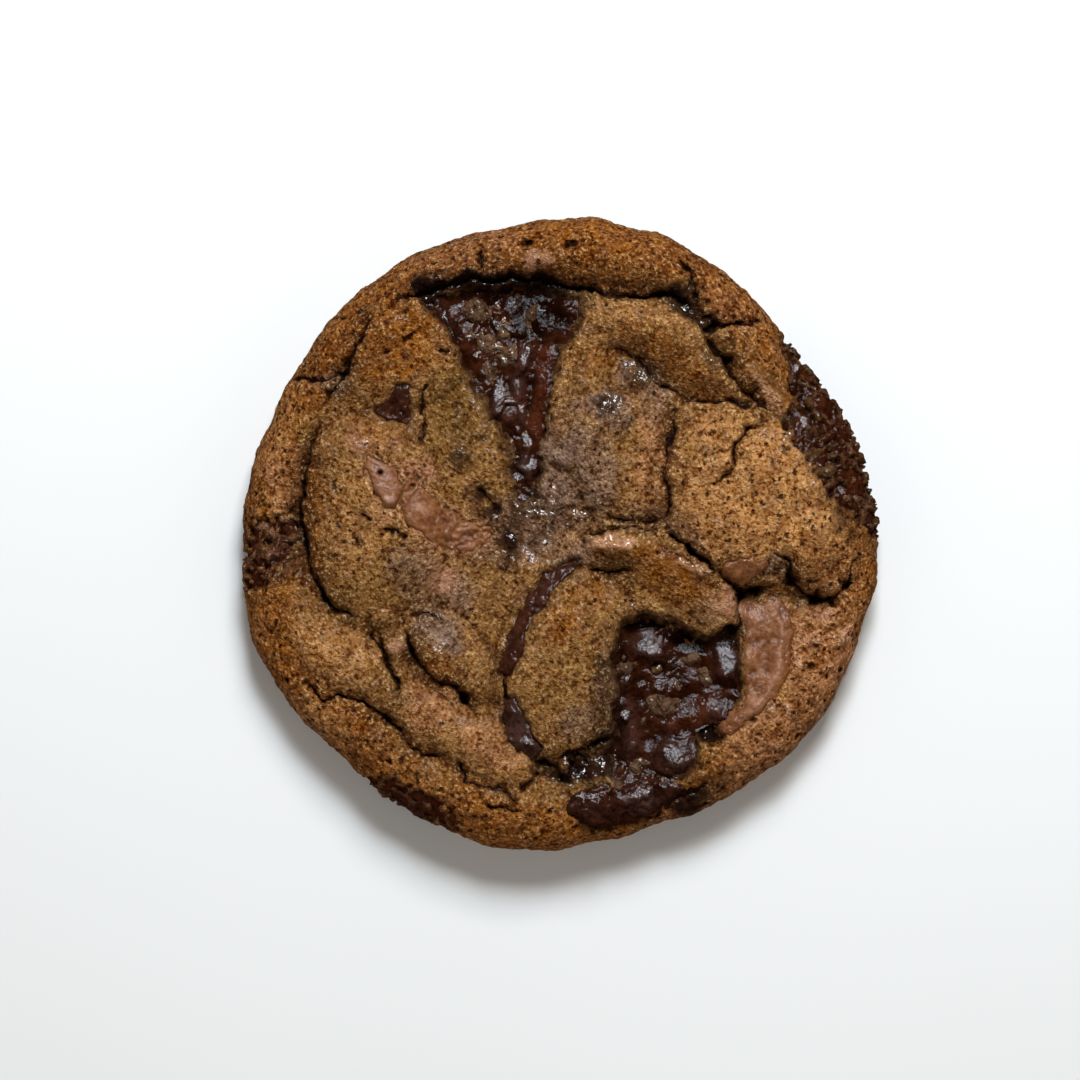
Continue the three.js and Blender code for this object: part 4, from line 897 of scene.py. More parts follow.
def mesh_object(name, points, faces, material, attributes):
    """A smooth mesh piece from points in millimetres, riding on the cookie, with its masks."""
    mesh = bpy.data.meshes.new(name)
    placed = (np.asarray(points) + [*SHIFT, 0]) * MM
    mesh.from_pydata(placed.tolist(), [], np.asarray(faces).tolist())
    for key, values in attributes.items():
        layer = mesh.attributes.new(key, "FLOAT", "POINT")
        layer.data.foreach_set("value", np.ascontiguousarray(values, dtype=np.float32))
    mesh.shade_smooth()
    piece = bpy.data.objects.new(name, mesh)
    bpy.context.scene.collection.objects.link(piece)
    mesh.materials.append(material)
    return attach(piece, "root")


def corner_normals(points, faces):
    """The outward direction at each corner of a triangle mesh."""
    a, b, c = (points[faces[:, i]] for i in range(3))
    across = np.cross(b - a, c - a)
    normals = np.zeros_like(points)
    for i in range(3):
        np.add.at(normals, faces[:, i], across)
    return normals / np.maximum(np.linalg.norm(normals, axis=1), 1e-12)[:, None]


def upright(normals, share):
    """Outward directions drawn upwards where the surface faces up, so that steep creases don't cross."""
    drawn = normals.copy()
    drawn[..., 2] += share * smoothstep(normals[..., 2], 0.1, 0.6)
    return drawn / np.linalg.norm(drawn, axis=-1)[..., None]


def depth_in(name, x, y, step):
    """How deep inside a piece of chocolate points lie, along its ragged outline."""
    wx, wy = (x, y) + CHOCOLATE[name]["ragged"] * step
    return depth_inside(RINGS_OF[name], wx, wy)


def turned_to_light(points, normals, lift, step, slopes, stand):
    """The lift with each gleaming slope turned to the light, and how strongly each point lies on one."""
    x, y, z = (points[..., axis] for axis in range(3))
    wx, wy = (x, y) + GLEAM_RAGGED * step
    upward = np.maximum(normals[..., 2], 0.3)
    ripples = [layered(points, [layer]) for layer in GLEAM_LAYERS]
    gleam = np.zeros_like(x)
    for shape in slopes:
        here = mound(wx, wy, shape, 3)
        if here.max() < 0.5:
            continue
        height = z + lift * upward
        level = np.average(height, weights=here) + stand
        facing = sum(ripples, level - GLEAM_SLOPE * (y - shape[1]))
        lift = lift + here * (facing - height) / upward
        gleam = np.maximum(gleam, here)
    return lift, gleam


# ---------------------------------------------------------------- the dough

# Heights of the crust's fine roughness.
RIM_GRAIN_HEIGHT = 0.2
HEAP_HEIGHT = 0.1
CRUMB_HEIGHT = 0.45
DUST_HEIGHT = 0.14
RAGGED_HEIGHT = 0.3
LIP_HEIGHT = 0.35
PIT_DEPTH = 1.6  # depth of a pit for each 1 of its strength

WORN = 0.45  # how much of the crumbs' height is left at the outline
WORN_REACH = (0.5, 4)  # how far in from the outline they grow to their full height
FINE_ROUNDS = 5  # rounds of smoothing that show single crumbs as crests and hollows, for painted highlight and shade
BROAD_ROUNDS = 50  # rounds that show whole folds
TOP_RINGS = 124  # rings of facets from the middle to the inner end of the rounded edge
EDGE_RINGS = 46  # rings over the rounded edge to the widest point
SIDE_RINGS = 9  # rings from there to the underside
BASE_RINGS = 2  # rings across the underside


def ring_faces(first, rings, base_ring, count):
    """Triangles between rings that grow by six corners, then between equal rings, then to a last point."""
    faces = []
    for ring in range(1, rings + 1):
        outer_n, inner_n = 6 * ring, max(6 * (ring - 1), 1)
        sector = np.repeat(np.arange(6), ring)
        j = np.tile(np.arange(ring), 6)
        outer = sector * ring + j
        inner = sector * (ring - 1) + j
        a = first[ring] + outer % outer_n
        b = first[ring] + (outer + 1) % outer_n
        c = first[ring - 1] + inner % inner_n
        d = first[ring - 1] + (inner + 1) % inner_n
        keep = j < ring - 1
        faces += [np.column_stack([a, b, c]), np.column_stack([c, b, d])[keep]]
    n = 6 * rings
    i = np.arange(n)
    for ring in range(rings, base_ring):
        a, b = first[ring] + i, first[ring] + (i + 1) % n
        c, d = first[ring + 1] + i, first[ring + 1] + (i + 1) % n
        faces += [np.column_stack([a, c, d]), np.column_stack([a, d, b])]
    a, b = first[-1] + i, first[-1] + (i + 1) % n
    faces.append(np.column_stack([np.full(n, count), b, a]))
    return np.vstack(faces)


def dough_shape():
    """Corners and triangles of the dough before its fine roughness, and its masks of painted shade in gaps
    and valleys and of painted highlight on lips.
    """
    rings = TOP_RINGS + EDGE_RINGS
    flat_rings, edge_rings = [np.zeros((1, 2))], []
    for ring in range(1, rings + SIDE_RINGS + 1):
        angle = 2 * math.pi * np.arange(6 * min(ring, rings)) / (6 * min(ring, rings))
        if ring <= TOP_RINGS:
            flat_rings.append(around(angle, (outline_radius(angle) - EDGE_ROUND) * ring / TOP_RINGS))
        else:
            share = (ring - TOP_RINGS) / EDGE_RINGS if ring < rings else 1 + 0.5 * (ring - rings) / SIDE_RINGS
            edge_rings.append(rounded_edge(angle, share))
    base_rings = []
    for ring in range(1, BASE_RINGS + 2):
        left = 1 - ring / (BASE_RINGS + 1)
        under = flat(*around(angle, (outline_radius(angle) - UNDERCUT) * left).T)
        base_rings.append((under if ring <= BASE_RINGS else under[:1], np.zeros((1, 3))))
    parts = [top_points(np.vstack(flat_rings)), *edge_rings, *base_rings]
    sizes = [len(ring) for ring in flat_rings] + [len(ring) for ring, _ in parts[1:]]
    first = np.concatenate([[0], np.cumsum(sizes)])
    faces = ring_faces(first[:-2], rings, rings + SIDE_RINGS + BASE_RINGS, first[-2])
    shades = [np.broadcast_to(shade, points.shape) for points, shade in parts]
    return np.vstack([points for points, _ in parts]), faces, np.vstack(shades)


def tone_masks(points, step, depths, islands):
    """How strong each tone of the crust is at each corner, from 0 to 1."""
    x, y, z = points.T
    p = flat(x, y)
    wx, wy = (x, y) + TONE_RAGGED * step
    mottle = 1 + 0.7 * rough(p, *TONE_MOTTLE)
    masks = {}
    for name, patches in TONES.items():
        cover = np.zeros_like(x)
        for *shape, strength in patches:
            cover = np.maximum(cover, strength * blob(wx, wy, shape))
        masks[name] = np.clip(cover * mottle, 0, 1)
    inset = inset_at(x, y)
    uneven = rough(p, *RIM_WANDER)
    for name, (strength, wander, start, full) in RIM_TONES.items():
        near_rim = strength * smoothstep(wander * uneven - inset, -start, -full)
        masks[name] = np.maximum(masks.get(name, 0), near_rim)
    reach = np.clip(1.1 + 1.6 * noise(p, *STAIN_REACH), 0.3, 2.6)
    spots = smoothstep(noise(p, *STAIN_SPOTS), 0.25, 0.5)
    wet = np.maximum(masks["wet"], masks["melted"])
    for name, depth in depths.items():
        piece = CHOCOLATE[name]
        outside = np.minimum(depth, 0)
        near = np.exp(outside / reach)
        if piece["kind"] == DARK:
            stain = np.maximum(near, 0.8 * spots * np.exp(outside / SPOT_REACH) * (depth > -DEPTH_REACH))
            wet = np.maximum(wet, piece["stain"] * stain)
        elif piece["ragged"] > SMOOTH_EDGE:
            masks["milk"] = np.maximum(masks["milk"], 0.7 * near)
    masks["wet"] = np.clip(wet - 0.2 * islands, 0, 1)
    masks["under"] = smoothstep(-z, -2.5, -0.4)
    return masks


def standing_out(points, faces, normals, rounds):
    """How far each corner stands out of its surroundings, in millimetres, less than 0 in a hollow."""
    start, stop = faces.ravel(), np.roll(faces, -1, axis=1).ravel()
    count = np.bincount(start, minlength=len(points))[:, None]
    level = points
    for _ in range(rounds):
        sums = [np.bincount(start, level[stop, axis], len(points)) for axis in range(3)]
        level = 0.5 * (level + np.stack(sums, axis=1) / count)
    return np.sum((points - level) * normals, axis=1)


def islands_at(x, y, step):
    """How much an island covers each point, from 0 to 1, and how far it stands over the chocolate."""
    wx, wy = (x, y) + ISLAND_RAGGED * step
    cover, rise = np.zeros_like(x), np.zeros_like(x)
    for *shape, height in ISLANDS:
        here = mound(wx, wy, shape, 2)
        cover = np.maximum(cover, here)
        rise = np.maximum(rise, height * here)
    return cover, rise


def pockets(points, depths, cover, rise, crumbs):
    """How far the dough sinks under each piece of chocolate, and how near it is to a dark piece's edge."""
    rim_crumbs = smoothstep(layered(points, RIM_CRUMB_LAYERS), -0.15, 0.4)
    sink, ragged = np.zeros_like(cover), np.zeros_like(cover)
    for name, piece in CHOCOLATE.items():
        depth, is_dark = depths[name], piece["kind"] == DARK
        inside = smoothstep(depth, -piece["turn"], 1.2 * piece["turn"])
        loose = rim_crumbs if piece["edge"] else crumbs
        stand = np.maximum(POCKET_DEPTH * cover + rise, piece["crumbs"] * loose) * is_dark
        sink = np.maximum(sink, inside * (piece["sunk"] + POCKET_DEPTH - stand))
        if is_dark:
            ragged = np.maximum(ragged, bell(depth / EDGE_SPREAD) * (depth > -DEPTH_REACH))
    return sink, ragged


def worn_at(inset):
    """How much of the height of crumbs and billows is left, as the rim is worn smooth."""
    return WORN + (1 - WORN) * smoothstep(inset, *WORN_REACH)


def crust_lift(points, masks, crumbly, ragged, lift):
    """The fine roughness of a baked crust added to a lift, and how deep its pits are."""
    inset = inset_at(points[:, 0], points[:, 1])
    crumbly = crumbly * worn_at(inset)
    rim = RIM_GRAIN_HEIGHT * masks["rim"] * (0.5 + 0.5 * smoothstep(inset, 0.5, 3))
    lip = LIP_HEIGHT * masks["lip"]
    pits = np.maximum(noise(points, *PITS) - 0.5, 0) * (0.35 + 0.65 * masks["porous"] + 0.3 * crumbly)
    heaps = HEAP_HEIGHT * noise(points, *CRUMB_HEAPS) + CRUMB_HEIGHT * (grains(points, *CRUMB_GRAINS) - 0.5)
    lift = lift + layered(points, CRUST_LAYERS)
    lift += rim * (grains(points, *RIM_GRAINS) - 0.5)
    lift += crumbly * (heaps + DUST_HEIGHT * noise(points, *CRUMB_DUST))
    lift += RAGGED_HEIGHT * ragged * noise(points, *RAGGED_EDGES) + lip * (grains(points, *LIP_GRAINS) - 0.3)
    return lift - PIT_DEPTH * pits, pits


def make_dough(material):
    """The whole dough, with pockets where the chocolate lies and the fine roughness of a baked crust."""
    points, faces, shade = dough_shape()
    x, y, z = points.T
    step = drift(x, y)
    normals = corner_normals(points, faces)
    depths = {name: depth_in(name, x, y, step) for name in CHOCOLATE}
    cover, rise = islands_at(x, y, step)
    crumbs = smoothstep(layered(points, POOL_CRUMB_LAYERS), -0.1, 0.5)
    sink, ragged = pockets(points, depths, cover, rise, crumbs)
    masks = tone_masks(points, step, depths, np.maximum(cover, crumbs) * (sink > 0.2))
    # painted shade in gaps and valleys, and painted highlight on lips
    masks["gap"], masks["lip"], masks["valley"] = shade.T
    # less painted shade in valleys under the glazed tone's painted highlight
    masks["valley"] = masks["valley"] * (1 - 0.8 * masks["glaze_and_highlight"])
    island = cover * (sink > 0.2)
    masks["grey"] = np.maximum(masks["grey"], 0.85 * island)
    masks["sheen"] = np.maximum(masks["sheen"], 0.9 * island)
    crumbly = np.clip(np.maximum(masks.pop("crumbly"), ragged * 0.7 + (sink > 0.5)), 0, 1)
    lift, masks["gleam"] = turned_to_light(points, normals, np.zeros_like(x), step, DOUGH_GLEAMS, 0.0)
    lift, pits = crust_lift(points, masks, crumbly, ragged, lift)
    base = z < 0.5
    points = points + upright(normals, 1.5) * np.where(base, 0, lift - sink)[:, None]
    points[:, 2] = np.maximum(points[:, 2], 0)
    normals = corner_normals(points, faces)
    # Crests get painted highlight and hollows painted shade, by how far each corner stands out of its
    # surroundings.
    fine, broad = (standing_out(points, faces, normals, rounds) for rounds in (FINE_ROUNDS, BROAD_ROUNDS))
    # painted shade in the pits
    masks["dark"] = 0.8 * smoothstep(pits, 0.03, 0.25)
    crest = np.clip(0.6 * smoothstep(fine, 0.0, 0.09) + 0.7 * smoothstep(broad, 0.05, 0.45), 0, 1)
    masks["crest"] = np.where(base, 0, crest * (1 - 0.85 * masks["wet"]))
    hollow = np.clip(smoothstep(-fine, 0.0, 0.1) + 0.7 * smoothstep(-broad, 0.1, 0.7), 0, 1)
    # less painted shade in hollows under the glazed tone's painted highlight
    masks["hollow"] = np.where(base, 0, hollow * (1 - 0.6 * masks["glaze_and_highlight"]))
    piece = mesh_object("dough_crust", points, faces, material, masks)
    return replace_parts(piece, "dough")


# ---------------------------------------------------------------- the chocolate's skins


EDGE_START = 42  # radius at which the rounded edge starts, on average
RIM_RADIUS = 50  # radius that turns a spacing along the rim into an angle
EDGE_LENGTH = 11  # length of the rounded edge down to the widest point
EDGE_END = 1.36  # share of the rounded edge at which the skins end, below the widest point
EASE_ROUNDS = 12  # how often a skin is drawn smooth before it gets its billows
FLOW_DRIFT = 1.3  # how far the places of the billows wander
CALM_EDGE = 0.35  # how much calmer a piece on the rim is under its lumps
CALM_TOP = 0.75  # and any other piece
RIPPLE_HEIGHT = 0.14  # height of ripples for each 1 of a piece's small billows
BUSY_EDGE = 0.85  # how busy a piece on the rim is everywhere
DEEP_SINK = 0.35  # how far deep places are sunk
PIN_DEPTH = 1.2
GLEAM_STAND = 0.15  # how far a gleam stands over the chocolate round it
DIVE_DEPTH = 1.2  # how far a skin dives under the dough at its edge


def grid_over(ring):
    """An even grid of points on the top over a ring's box."""
    low, high = ring.min(axis=0) - SKIN_MARGIN, ring.max(axis=0) + SKIN_MARGIN
    sides = (np.arange(low[axis], high[axis], SKIN_GRID) for axis in (0, 1))
    return top_points(np.stack(np.meshgrid(*sides, indexing="ij"), axis=-1))[0]


def edge_grid_over(ring):
    """A grid of points from the top over the edge and down the side, along a ring's stretch of rim."""
    angles = np.unwrap(np.arctan2(ring[:, 1], ring[:, 0]))
    spread = SKIN_MARGIN / RIM_RADIUS
    angle = np.arange(angles.min() - spread, angles.max() + spread, SKIN_GRID / RIM_RADIUS)
    inner = np.hypot(ring[:, 0], ring[:, 1]).min() - SKIN_MARGIN
    rows = [
        top_points(around(angle, r / EDGE_START * (outline_radius(angle) - EDGE_ROUND)))[0]
        for r in np.arange(inner, EDGE_START, SKIN_GRID)
    ]
    rows += [rounded_edge(angle, share)[0] for share in np.arange(0.0, EDGE_END, SKIN_GRID / EDGE_LENGTH)]
    return np.stack(rows)


def eased(points, rounds):
    """A grid of points drawn towards its neighbours, as melted chocolate levels out over narrow creases."""
    for _ in range(rounds):
        for axis in (0, 1):
            ends = np.take(points, [0, -1], axis=axis)
            padded = np.concatenate([ends.take([0], axis), points, ends.take([1], axis)], axis=axis)
            n = points.shape[axis]
            before, after = (np.take(padded, np.arange(k, k + n), axis=axis) for k in (0, 2))
            points = 0.5 * points + 0.25 * (before + after)
    return points


def grid_normals(points):
    """The outward direction at each point of a grid."""
    normals = np.cross(np.gradient(points, axis=0), np.gradient(points, axis=1))
    normals /= np.maximum(np.linalg.norm(normals, axis=-1), 1e-12)[..., None]
    outward = np.sum(normals * (points - [0, 0, -40]), axis=-1)
    return normals * np.where(outward < 0, -1, 1)[..., None]


def shell_object(name, points, normals, lift, keep, material, attributes):
    """A closed skin from the kept cells of a grid: an upper face moved out by lift, and a lower face."""
    n = keep.size
    index = np.arange(n).reshape(keep.shape)
    cell = keep[:-1, :-1] & keep[1:, :-1] & keep[1:, 1:] & keep[:-1, 1:]
    corners = (index[:-1, :-1], index[1:, :-1], index[1:, 1:], index[:-1, 1:])
    quads = np.column_stack([corner[cell] for corner in corners])
    upper = (points + normals * lift[..., None]).reshape(-1, 3)
    lower = (points + normals * (np.minimum(lift, 0) - SKIN_THICK)[..., None]).reshape(-1, 3)
    p, q, r = upper[quads[:, 0]], upper[quads[:, 1]], upper[quads[:, 2]]
    turn = np.sum(np.cross(q - p, r - p) * normals.reshape(-1, 3)[quads[:, 0]], axis=1).sum()
    if turn < 0:
        quads = quads[:, ::-1]
    ends = np.column_stack([quads, np.roll(quads, -1, axis=1)]).reshape(len(quads), 2, 4)
    edges = set(zip(ends[:, 0].ravel().tolist(), ends[:, 1].ravel().tolist()))
    rim = np.array([(s, t) for s, t in edges if (t, s) not in edges])
    walls = np.column_stack([rim[:, 1], rim[:, 0], rim[:, 0] + n, rim[:, 1] + n])
    faces = np.vstack([quads, quads[:, ::-1] + n, walls])
    used = np.unique(faces)
    place = np.zeros(2 * n, int)
    place[used] = np.arange(len(used))
    both = np.vstack([upper, lower])[used]
    kept = {key: np.tile(v.ravel(), 2)[used] for key, v in attributes.items()}
    return mesh_object(name, both, place[faces], material, kept)


def features_at(x, y, step):
    """Rise, cover, ruddiness and grey of the named lumps and ribbons of chocolate; the grey is bloom and
    partly painted highlight.
    """
    wx, wy = (x, y) + FEATURE_RAGGED * step
    features = []
    for *shape, height, red, grey in LUMPS:
        tilt = LUMP_TILT * grey * np.clip((wy - shape[1]) / max(shape[2:4]), -1, 1)
        features.append((mound(wx, wy, shape, 1.5), height, 1 - tilt, red, grey))
    for line, half, height, red, grey in RIBBON_LINES:
        distance, along, _ = nearest_on(line, wx, wy, 2 * half)
        here = bell(distance / half, 4) * fade_at_ends(along) * (distance < 2 * half)
        features.append((here, height, 1 - 0.5 * (distance / half) ** 2, red, grey))
    rise, cover, ruddy, bloom = (np.zeros_like(x) for _ in range(4))
    for here, height, fall, red, grey in features:
        rise += height * here * fall
        cover = np.maximum(cover, here)
        ruddy = np.maximum(ruddy, red * here)
        bloom = np.maximum(bloom, grey * here)
    return rise, cover, ruddy, bloom


def loose_surface(piece, points, flow):
    """The billows, grains and ripples of a piece of chocolate, calmer in places and near the outline."""
    busy = smoothstep(noise(points, *POOL_BUSY), -0.25, 0.35)
    busy = np.maximum(busy, BUSY_EDGE if piece["edge"] else 0)
    loose = piece["billows"] * billows(flow, *POOL_BILLOWS)
    loose = loose + piece["small"] * billows(flow, *POOL_SMALL_BILLOWS) * (0.2 + 0.9 * busy)
    grainy = piece["grains"] * (grains(flow, *POOL_GRAINS) - 0.5) * (0.3 + 0.7 * busy)
    loose += grainy + RIPPLE_HEIGHT * piece["small"] * noise(points, *POOL_RIPPLES)
    return loose * worn_at(inset_at(points[..., 0], points[..., 1]))


def make_chocolate(name, material):
    """One piece of chocolate, which fills its pocket and dives under the dough round its ragged outline."""
    piece = CHOCOLATE[name]
    points = eased((edge_grid_over if piece["edge"] else grid_over)(RINGS_OF[name]), EASE_ROUNDS)
    normals = upright(grid_normals(points), 0 if piece["edge"] else 3)
    x, y = points[..., 0], points[..., 1]
    step = drift(x, y)
    depth = depth_in(name, x, y, step)
    rise, cover, ruddy, bloom = features_at(x, y, step)
    flow = points + FLOW_DRIFT * np.stack([noise(points, *one) for one in POOL_FLOW], axis=-1)
    loose = loose_surface(piece, points, flow)
    lift = -piece["sunk"] + loose * (1 - (CALM_EDGE if piece["edge"] else CALM_TOP) * cover) + rise
    pin, deep_shade = np.zeros_like(x), np.zeros_like(x)
    for x0, y0, radius in PINHOLES:
        pin = np.maximum(pin, bell(np.hypot(x - x0, y - y0) / radius, 4))
    for *shape, strength in SHADED_DEEPS:
        deep_shade = np.maximum(deep_shade, strength * blob(*((x, y) + FEATURE_RAGGED * step), shape))
    lift, gleam = turned_to_light(points, normals, lift - DEEP_SINK * deep_shade, step, GLEAMS, GLEAM_STAND)
    lift -= PIN_DEPTH * pin
    inside = smoothstep(depth, -0.8 * piece["turn"], 0.6 * piece["turn"])
    lift = lift * inside - (piece["sunk"] * 0.4 + DIVE_DEPTH) * (1 - inside)
    mottle = rough(flow, *POOL_MOTTLE)
    masks = {
        "ruddy": np.clip(np.maximum(ruddy, piece["ruddy"]) + 0.4 * smoothstep(mottle, 0.0, 0.6), 0, 1),
        "bloom": np.clip(np.maximum(bloom, piece["bloom"]) + 0.2 * smoothstep(-mottle, 0.25, 0.8), 0, 1),
        "gleam": gleam,
        # painted shade in pinholes, deep places and the low places between billows
        "dark": np.maximum(np.maximum(pin, deep_shade), smoothstep(-loose - 0.2 * cover, 0.2, 0.8) * 0.8),
    }
    made = shell_object(name + "_skin", points, normals, lift, depth > -piece["turn"], material, masks)
    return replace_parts(made, name)


# ---------------------------------------------------------------- materials


class Nodes:
    """Adds nodes to a material or world. A value is a number, a colour or the output of another node."""

    def __init__(self, tree):
        self.tree = tree

    def put(self, socket, value):
        """Links a value to an input, or sets it there."""
        if isinstance(value, bpy.types.NodeSocket):
            self.tree.links.new(value, socket)
        else:
            socket.default_value = value

    def add(self, kind, inputs, **settings):
        """A node with its settings and its inputs."""
        made = self.tree.nodes.new("ShaderNode" + kind)
        for key, value in settings.items():
            setattr(made, key, value)
        for key, value in inputs.items():
            self.put(made.inputs[key], value)
        return made

    def place(self):
        """The place on the piece, turned so that textures don't line up with the flat top."""
        place = self.add("TexCoord", {}).outputs["Object"]
        return self.add("Mapping", {"Vector": place, "Rotation": TEXTURE_TURN}).outputs[0]

    def moved(self, place, scale, amount):
        """A place moved a little at random, so that round textures turn ragged."""
        jitter = self.add("TexNoise", {"Vector": place, "Scale": scale, "Detail": 1.0}).outputs["Color"]
        centred = self.add("VectorMath", {0: jitter, 1: (0.5, 0.5, 0.5)}, operation="SUBTRACT").outputs[0]
        scaled = self.add("VectorMath", {0: centred, "Scale": amount}, operation="SCALE").outputs[0]
        return self.add("VectorMath", {0: place, 1: scaled}, operation="ADD").outputs[0]

    def noise(self, place, scale, detail=2.0, roughness=0.5):
        """A noise texture whose scale counts bumps to the metre."""
        inputs = {"Vector": place, "Scale": scale, "Detail": detail, "Roughness": roughness}
        return self.add("TexNoise", inputs).outputs["Fac"]

    def mask(self, name):
        """One of the mesh's own masks."""
        return self.add("Attribute", {}, attribute_name=name).outputs["Fac"]

    def span(self, value, low, high, to_low=0.0, to_high=1.0):
        """A value spread from one range to another and held inside it."""
        inputs = {"Value": value, "From Min": low, "From Max": high, "To Min": to_low, "To Max": to_high}
        return self.add("MapRange", inputs, clamp=True).outputs["Result"]

    def calc(self, operation, first, *others):
        """An operation from left to right over two or more values."""
        for other in others:
            first = self.add("Math", {0: first, 1: other}, operation=operation).outputs[0]
        return first

    def mix(self, factor, a, b, mode="MIX"):
        """Colour a with b laid over it by a factor."""
        return self.add("Mix", {"Factor": factor, 6: a, 7: b}, data_type="RGBA", blend_type=mode).outputs[2]

    def bump(self, strength, distance, height):
        """The surface's direction with a height's bumps, whose size is in metres."""
        inputs = {"Strength": strength, "Distance": distance, "Height": height}
        return self.add("Bump", inputs).outputs["Normal"]


def srgb(red, green, blue):
    """A colour as the shader wants it, from its usual 0 to 255 values."""
    values = (v / 255 for v in (red, green, blue))
    return (*(v / 12.92 if v <= 0.04045 else ((v + 0.055) / 1.055) ** 2.4 for v in values), 1.0)


def new_material(name):
    """A material with its nodes and its shader."""
    material = bpy.data.materials.new(name)
    material.use_nodes = True
    tree = material.node_tree
    return material, Nodes(tree), tree.nodes["Principled BSDF"]


# The tones of the crust in the order they are laid on: name, strength, darker and lighter colour. Shade is
# painted shade; amber partly paints shade and glazed partly a highlight.
DOUGH_TONES = [
    ("rim", 0.85, (124, 65, 9), (160, 96, 28)),
    ("golden", 0.9, (156, 99, 46), (202, 146, 89)),
    ("olive", 0.8, (96, 64, 18), (128, 92, 42)),
    ("amber_and_shade", 0.85, (112, 57, 2), (146, 83, 9)),
    ("grey", 0.85, (88, 65, 52), (148, 120, 106)),
    ("rosy", 0.9, (140, 84, 42), (188, 132, 90)),
    ("shade", 0.9, (52, 30, 12), (86, 54, 26)),
    ("glaze_and_highlight", 0.95, (172, 114, 68), (226, 174, 136)),
    ("milk", 0.85, (134, 82, 52), (172, 122, 94)),
    ("wet", 0.95, (34, 15, 6), (78, 50, 28)),
    ("stained", 0.85, (48, 18, 9), (98, 56, 38)),
    ("melted", 0.97, (20, 7, 2), (50, 24, 12)),
    ("under", 0.8, (84, 44, 14), (120, 70, 28)),
]
# Scales of the textures, in bumps to the metre.
CRUST_MOTTLE = 480
CRUST_SAND = 1950
CRUST_GRAINS = 1450
CRUST_PORES = 720
CRUST_FILM = 1050
CHOCOLATE_BLOTCHES = 420
CHOCOLATE_GRAIN = 1500
# Depths of the fine bumps in metres.
CRUST_BUMP = 0.0009
FILM_BUMP = 0.0005

CRUST_COLOURS = (srgb(106, 66, 24), srgb(158, 111, 61))
# Painted shade: the colours of pores, of gaps along creases, cracks and holes, and of pits.
PORE_SHADE_COLOUR = srgb(44, 16, 2)
GAP_SHADE_COLOUR = srgb(26, 10, 3)
PIT_SHADE_COLOUR = srgb(34, 13, 3)
# Painted shade: by how much the colour is multiplied between grains, in hollows and in valleys.
GRAIN_SHADOW = (0.36, 0.2, 0.06, 1)
HOLLOW_SHADOW = (0.5, 0.38, 0.22, 1)
VALLEY_SHADOW = (0.32, 0.2, 0.08, 1)
# What is added to the colour on pale grains, the more on crests and lips as painted highlight, and on crests
# and lips as painted highlight.
PALE_GRAIN = (0.27, 0.2, 0.102, 1)
CREST_HIGHLIGHT = (0.12, 0.07, 0.025, 1)


def pores_of(n, place):
    """Dark dots of painted shade for small ragged pores, scattered more thickly where the crust is porous."""
    cells = n.add("TexVoronoi", {"Vector": n.moved(place, 2200, 0.0009), "Scale": CRUST_PORES})
    hole = n.span(cells.outputs["Distance"], 0.21, 0.31, 1.0, 0.0)
    chance = n.add("SeparateColor", {0: cells.outputs["Color"]}).outputs[0]
    share = n.span(n.mask("porous"), 0.0, 1.0, 0.14, 0.85)
    return n.calc("MULTIPLY", hole, n.calc("LESS_THAN", chance, share))


def dough_colour(n, grain, mottle):
    """The crust's colour: its tones, with painted shade between grains, in hollows and in valleys, pale
    grains, and painted highlight on crests and lips.
    """
    patchy = n.span(mottle, 0.36, 0.64)
    colour = n.mix(patchy, *CRUST_COLOURS)
    for name, strength, low, high in DOUGH_TONES:
        tone = n.mix(patchy, srgb(*low), srgb(*high))
        colour = n.mix(n.calc("MULTIPLY", n.mask(name), strength), colour, tone)
    smooth = n.calc("MAXIMUM", n.mask("sheen"), n.mask("wet"))
    dry = n.span(n.mask("melted"), 0.0, 1.0, 1.0, 0.1)
    plain = n.calc("MULTIPLY", n.span(smooth, 0.0, 1.0, 1.0, 0.2), dry)
    between = n.calc("MULTIPLY", n.span(grain, 0.36, 0.45, 1.0, 0.0), plain)
    colour = n.mix(between, colour, GRAIN_SHADOW, "MULTIPLY")
    colour = n.mix(n.mask("hollow"), colour, HOLLOW_SHADOW, "MULTIPLY")
    colour = n.mix(n.mask("valley"), colour, VALLEY_SHADOW, "MULTIPLY")
    # painted highlight on crests and lips: paler grains there and a lighter colour
    highlit = n.calc("ADD", n.calc("MULTIPLY", n.mask("crest"), 0.5), n.calc("MULTIPLY", n.mask("lip"), 0.6))
    pale = n.calc("MULTIPLY", n.span(grain, 0.545, 0.67), plain, n.calc("ADD", highlit, 0.6))
    colour = n.mix(pale, colour, PALE_GRAIN, "ADD")
    return n.mix(n.calc("MULTIPLY", highlit, dry, 0.25), colour, CREST_HIGHLIGHT, "ADD")


